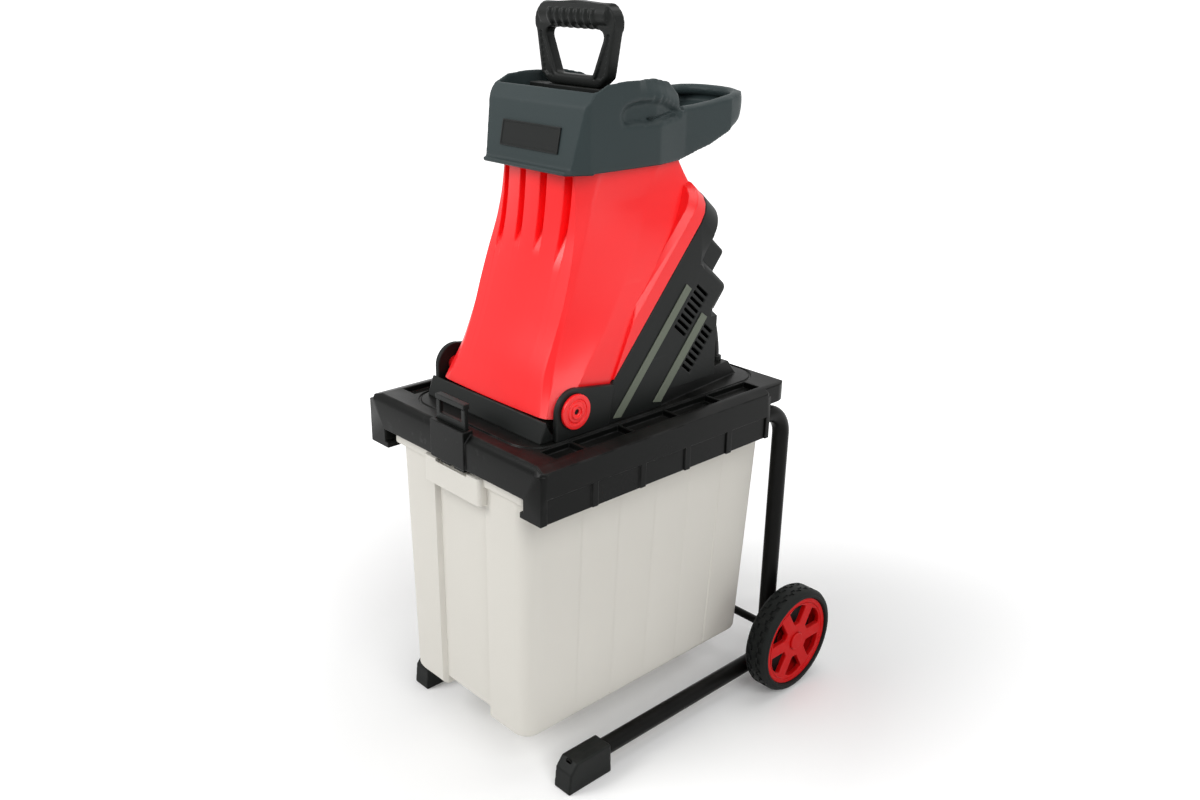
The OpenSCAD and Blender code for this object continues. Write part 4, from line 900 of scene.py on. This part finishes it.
class SHREDDER_OT_hopper(bpy.types.Operator):
    """Hopper with its rolled spout rim, its alcoves and the bare plate on its front"""
    bl_idname = "shredder.hopper"
    bl_label = "Hopper"

    voxel = 0.0019
    # The roll around the spout, from its root on the right to the middle of its end.
    roll = [(72, 318, 363), (70, 345, 364), (68.5, 376, 366.5), (66, 403, 370), (61, 424, 372.5), (50, 438, 374.5),
            (34, 446, 375.5), (16, 448.5, 376), (0, 449, 376)]
    # The beads along the lower front edge and across the lower rear edge, with their radii in metres.
    beads = (
        (0.0032, [(91, 153, 306.5), (75, 123.5, 306.5), (0, 123.5, 306.5), (-75, 123.5, 306.5), (-91, 153, 306.5)]),
        (0.0037, [(-74, 323.6, 313), (74, 323.6, 313)]),
    )
    # The spout: where its end is made narrower, where it is drawn out and where its tip is rounded.
    narrow_from, narrow_share = 425, 0.95
    draw_from, draw_to, draw_by = 330, 450, 0.011
    tip_from, tip_passes = 415, 34
    # The alcove in each side as seen from the side: along the crease, then back along the shelf.
    crease = [(196, 354), (191, 369), (197, 377), (206, 381.5), (225, 385), (245, 385.5), (275, 381.5), (300, 372),
              (309, 365)]
    shelf = [(306, 362), (251, 357), (207, 354.5)]
    wall = 4.0
    # Where humps and alcoves lie: least distance from the middle in metres, and area as seen from the side.
    flank, hump_front, hump_rear, hump_low, hump_high = 0.055, 170, 318, 345, 420
    # Half the width over the humps, and how it tapers to the spout.
    hull_half, taper, taper_from, taper_length = 93, 14, 262, 60
    # The crease's upper part begins at the first. Behind the second, the alcove has no step at its shelf.
    crease_front, shelf_front = 206, 236

    def execute(self, context):
        s = sizes()
        bm = copy_of("hopper")
        for v in bm.verts:
            if v.co.y > spot(0, self.narrow_from, 0).y:
                v.co.x *= self.narrow_share
        half = [spot(*p) for p in self.roll]
        line = half + [Vector((-p.x, p.y, p.z)) for p in reversed(half[:-1])]
        join(bm, tube(line, s.spout_roll, 16))
        for radius, bead in self.beads:
            join(bm, tube([spot(*p) for p in bead], radius, 12))
        bm = moulded(bm, self.voxel, 4)
        self.draw_out(bm)
        self.alcoves(bm)
        piece_of("hopper_moulding", bm, "upper", "charcoal_plastic", ["hopper"], 50)
        self.plate()
        return {"FINISHED"}

    def plate(self):
        """The bare plate, with a raised border."""
        plate = soften(copy_of("name_plate"), 0.0006)
        ahead = max((f for f in plate.faces if f.normal.y < 0), key=lambda f: f.calc_area()).normal.copy()
        front = [f for f in plate.faces if f.normal.dot(ahead) > 0.9999]
        bmesh.ops.inset_region(plate, faces=front, thickness=0.0022, depth=0)
        bmesh.ops.inset_region(plate, faces=front, thickness=0.0005, depth=-0.0006)
        piece_of("bare_plate", plate, "upper", "black_plastic", ["name_plate"], 8)

    def draw_out(self, bm):
        """Draws the spout out to its full reach and rounds its end."""
        start, end = spot(0, self.draw_from, 0).y, spot(0, self.draw_to, 0).y
        for v in bm.verts:
            v.co.y += self.draw_by * held((v.co.y - start) / (end - start)) ** 2
        tip = [v for v in bm.verts if v.co.y > spot(0, self.tip_from, 0).y]
        relax(bm, tip, self.tip_passes, upright=False)

    def alcoves(self, bm):
        """Sets the wall under each hump's crease back, and lets the hump stand out above it."""
        deep = sizes().arch_relief * 1000
        fold = [Vector(p) for p in self.crease]
        ledge = [Vector(p) for p in self.shelf]
        edge = fold + ledge
        bm.normal_update()
        calm, even = [], []
        for v in bm.verts:
            at = Vector((v.co.y * 1000 - DECK_FRONT, v.co.z * 1000 - DECK_TOP))
            if abs(v.co.x) < self.flank or not (self.hump_front < at.x < self.hump_rear
                                                and self.hump_low < at.y < self.hump_high):
                continue
            if gap(at, fold) < 9:
                calm.append(v)
            if gap(at, ledge) < 5:
                even.append(v)
            outward = math.copysign(v.normal.x, v.normal.x * v.co.x)
            if abs(outward) < 0.2:
                continue
            skin = 0.0 if outward > 0 else self.wall
            now = abs(v.co.x) * 1000 + skin
            aim = self.aim(at, now, deep, fold, edge)
            if aim is not None:
                moved = now + (aim - now) * soft((self.hump_rear - at.x) / 16)
                v.co.x = math.copysign((moved - skin) / 1000, v.co.x)
        relax(bm, calm, 7)
        relax(bm, even, 8)

    def aim(self, at, now, deep, fold, edge):
        """How far from the middle the skin should lie, in millimetres, or None where it stays."""
        hull = self.hull_half - self.taper * max(0.0, at.x - self.taper_from) / self.taper_length
        if within(at, edge):
            depth = gap(at, edge + edge[:1] if at.x < self.shelf_front else fold)
            return hull - deep * soft(depth / 6) * soft((at.x - 186) / 26)
        along = max(self.crease_front, min(at.x, self.crease[-1][0]))
        if at.x > 200 and at.y > eased(self.crease[3:], along)[0]:
            return hull + (now - hull) * soft(gap(at, fold) / 24)
        return None


class SHREDDER_OT_plunger(bpy.types.Operator):
    """Plunger with a ribbed grip"""
    bl_idname = "shredder.plunger"
    bl_label = "Plunger"

    voxel = 0.0013
    # In metres: the grip's height, its length with ribs and the radius on which the ribs lie.
    grip_z, grip_length, rib_ring = 0.953, 0.088, 0.0126
    # The ribs' angles in degrees: first, end and step. They leave the grip's underside free.
    rib_turn = (-208, 29, 12)
    # In metres: the arms lie below the first height, their channel above the second.
    arms_below, channel_above, channel_depth = 0.936, 0.876, 0.0024
    arm_passes, channel_rows = 22, 3

    def execute(self, context):
        s = sizes()
        low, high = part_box("plunger_handle")
        grip = Vector((0, (low.y + high.y) / 2, self.grip_z))
        bm = copy_of("plunger_handle")
        turns = [math.radians(k) for k in range(*self.rib_turn)]
        for i in range(s.grip_ribs):
            x = (i - (s.grip_ribs - 1) / 2) * self.grip_length / s.grip_ribs
            loop = [grip + Vector((x, math.cos(a) * self.rib_ring, math.sin(a) * self.rib_ring)) for a in turns]
            join(bm, tube(loop, s.grip_rib, 10))
        bm = moulded(bm, self.voxel, 3)
        self.arms(bm)
        piece_of("plunger_grip", bm, "plunger", "black_plastic", ["plunger_handle"], 50)
        rounded_node("plunger_paddle", "plunger", s.edge_round)
        return {"FINISHED"}

    def arms(self, bm):
        """Rounds the handle below its grip and sinks a channel into the flat faces of its arms."""
        below = [v for v in bm.verts if v.co.z < self.arms_below]
        relax(bm, below, self.arm_passes)
        bm.normal_update()
        channel = {v for v in below if abs(v.normal.y) > 0.97 and v.co.z > self.channel_above}
        for _ in range(self.channel_rows):
            channel = {v for v in channel if all(e.other_vert(v) in channel for e in v.link_edges)}
        for v in channel:
            v.co.y -= math.copysign(self.channel_depth, v.normal.y)
        relax(bm, list(channel), 1)


class SHREDDER_OT_wheels(bpy.types.Operator):
    """Tyres with their tread, rims and axle caps"""
    bl_idname = "shredder.wheels"
    bl_label = "Wheels"

    # In metres: the tyre's inner radius, half the plain band round its middle, the outer rows of blocks and the
    # slope of the grooves' sides.
    bead, band, shoulder, groove_side = 0.0671, 0.003, 0.0125, 0.0007
    # The black web's radii and inward offsets in millimetres. The web is painted shade: black behind the rim's
    # windows, where the inside of the wheel lies in shade.
    shade_web_profile = ((16.5, 5), (16.5, 8.5), (40, 7), (59.4, 8.5), (59.4, 5), (40, 3.5))

    def tyre(self, side):
        """A tyre whose tread has two staggered rows of grooves on each half."""
        s = sizes()
        low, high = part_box(side + "_tyre")
        centre = (low + high) / 2
        wide = (high.x - low.x) / 2
        outer = (high.z - low.z) / 2
        inner = self.bead
        half = [(inner, 0.003), (inner + 0.002, 0), (inner + 0.0045, 0), (inner + 0.0055, 0.0012),
                (outer - 0.005, 0.0014), (outer - 0.0022, 0.003), (outer, 0.007), (outer, self.shoulder),
                (outer, wide - self.band)]
        profile = [(r, x - wide) for r, x in half] + [(r, wide - x) for r, x in reversed(half)]
        steps = s.tread_blocks * 2
        bm = lathe(profile, centre, steps)
        tread = {-1: [], 1: []}
        for f in bm.faces:
            c = f.calc_center_median() - centre
            turn = math.atan2(c.z, c.y) / math.tau * steps
            across = abs(c.x)
            if math.hypot(c.y, c.z) < outer - 0.0012 or across < self.band:
                continue
            row = 0 if across < wide - self.shoulder else 1
            if math.floor(turn + (1 if c.x > 0 else 0) + row) % 2 == 0:
                tread[1 if c.x > 0 else -1].append(f)
        for group in (tread[1], tread[-1]):
            bmesh.ops.inset_individual(bm, faces=group, thickness=self.groove_side, depth=0)
            for v in (v for f in group for v in f.verts):
                c = v.co - centre
                v.co -= Vector((0, c.y, c.z)).normalized() * s.tread_depth
        piece_of(side + "_tyre_tread", bm, side + "_wheel", "tyre", [side + "_tyre"], 35)

    def shade_web(self, side):
        """A black web behind the windows of a rim: painted shade for the inside of the wheel seen through them."""
        low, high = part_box(side + "_rim")
        centre = (low + high) / 2
        inward = -1 if centre.x > 0 else 1
        bm = lathe(metres(self.shade_web_profile, inward), centre, 60)
        piece_of(side + "_wheel_shade_web", bm, side + "_wheel", "black_plastic")

    def execute(self, context):
        for side in ("left", "right"):
            self.tyre(side)
            self.shade_web(side)
            rounded_node(side + "_rim", side + "_wheel", sizes().edge_round * 1.2, 3)
        rounded_node("axle_caps", "frame", sizes().edge_round, 3)
        return {"FINISHED"}


STEPS = (SHREDDER_OT_stage, SHREDDER_OT_finishes, SHREDDER_OT_deck, SHREDDER_OT_housing, SHREDDER_OT_lead,
         SHREDDER_OT_chute, SHREDDER_OT_hopper, SHREDDER_OT_plunger, SHREDDER_OT_wheels)


class SHREDDER_PT_panel(bpy.types.Panel):
    """Lists the steps that dress the shredder, with their sizes and colours"""
    bl_label = "Shredder"
    bl_idname = "SHREDDER_PT_panel"
    bl_space_type = "VIEW_3D"
    bl_region_type = "UI"
    bl_category = "Shredder"

    def draw(self, context):
        for step in STEPS:
            self.layout.operator(step.bl_idname)
        for group in (context.scene.shredder_sizes, context.scene.shredder_colours):
            for key in group.__annotations__:
                self.layout.prop(group, key)


CLASSES = (ShredderSizes, ShredderColours, *STEPS, SHREDDER_PT_panel)


def register():
    for kind in CLASSES:
        bpy.utils.register_class(kind)
    bpy.types.Scene.shredder_sizes = PointerProperty(type=ShredderSizes)
    bpy.types.Scene.shredder_colours = PointerProperty(type=ShredderColours)


def unregister():
    del bpy.types.Scene.shredder_colours
    del bpy.types.Scene.shredder_sizes
    for kind in reversed(CLASSES):
        bpy.utils.unregister_class(kind)


def main():
    register()
    for step in STEPS:
        group, name = step.bl_idname.split(".")
        getattr(getattr(bpy.ops, group), name)()


if __name__ == "__main__":
    main()
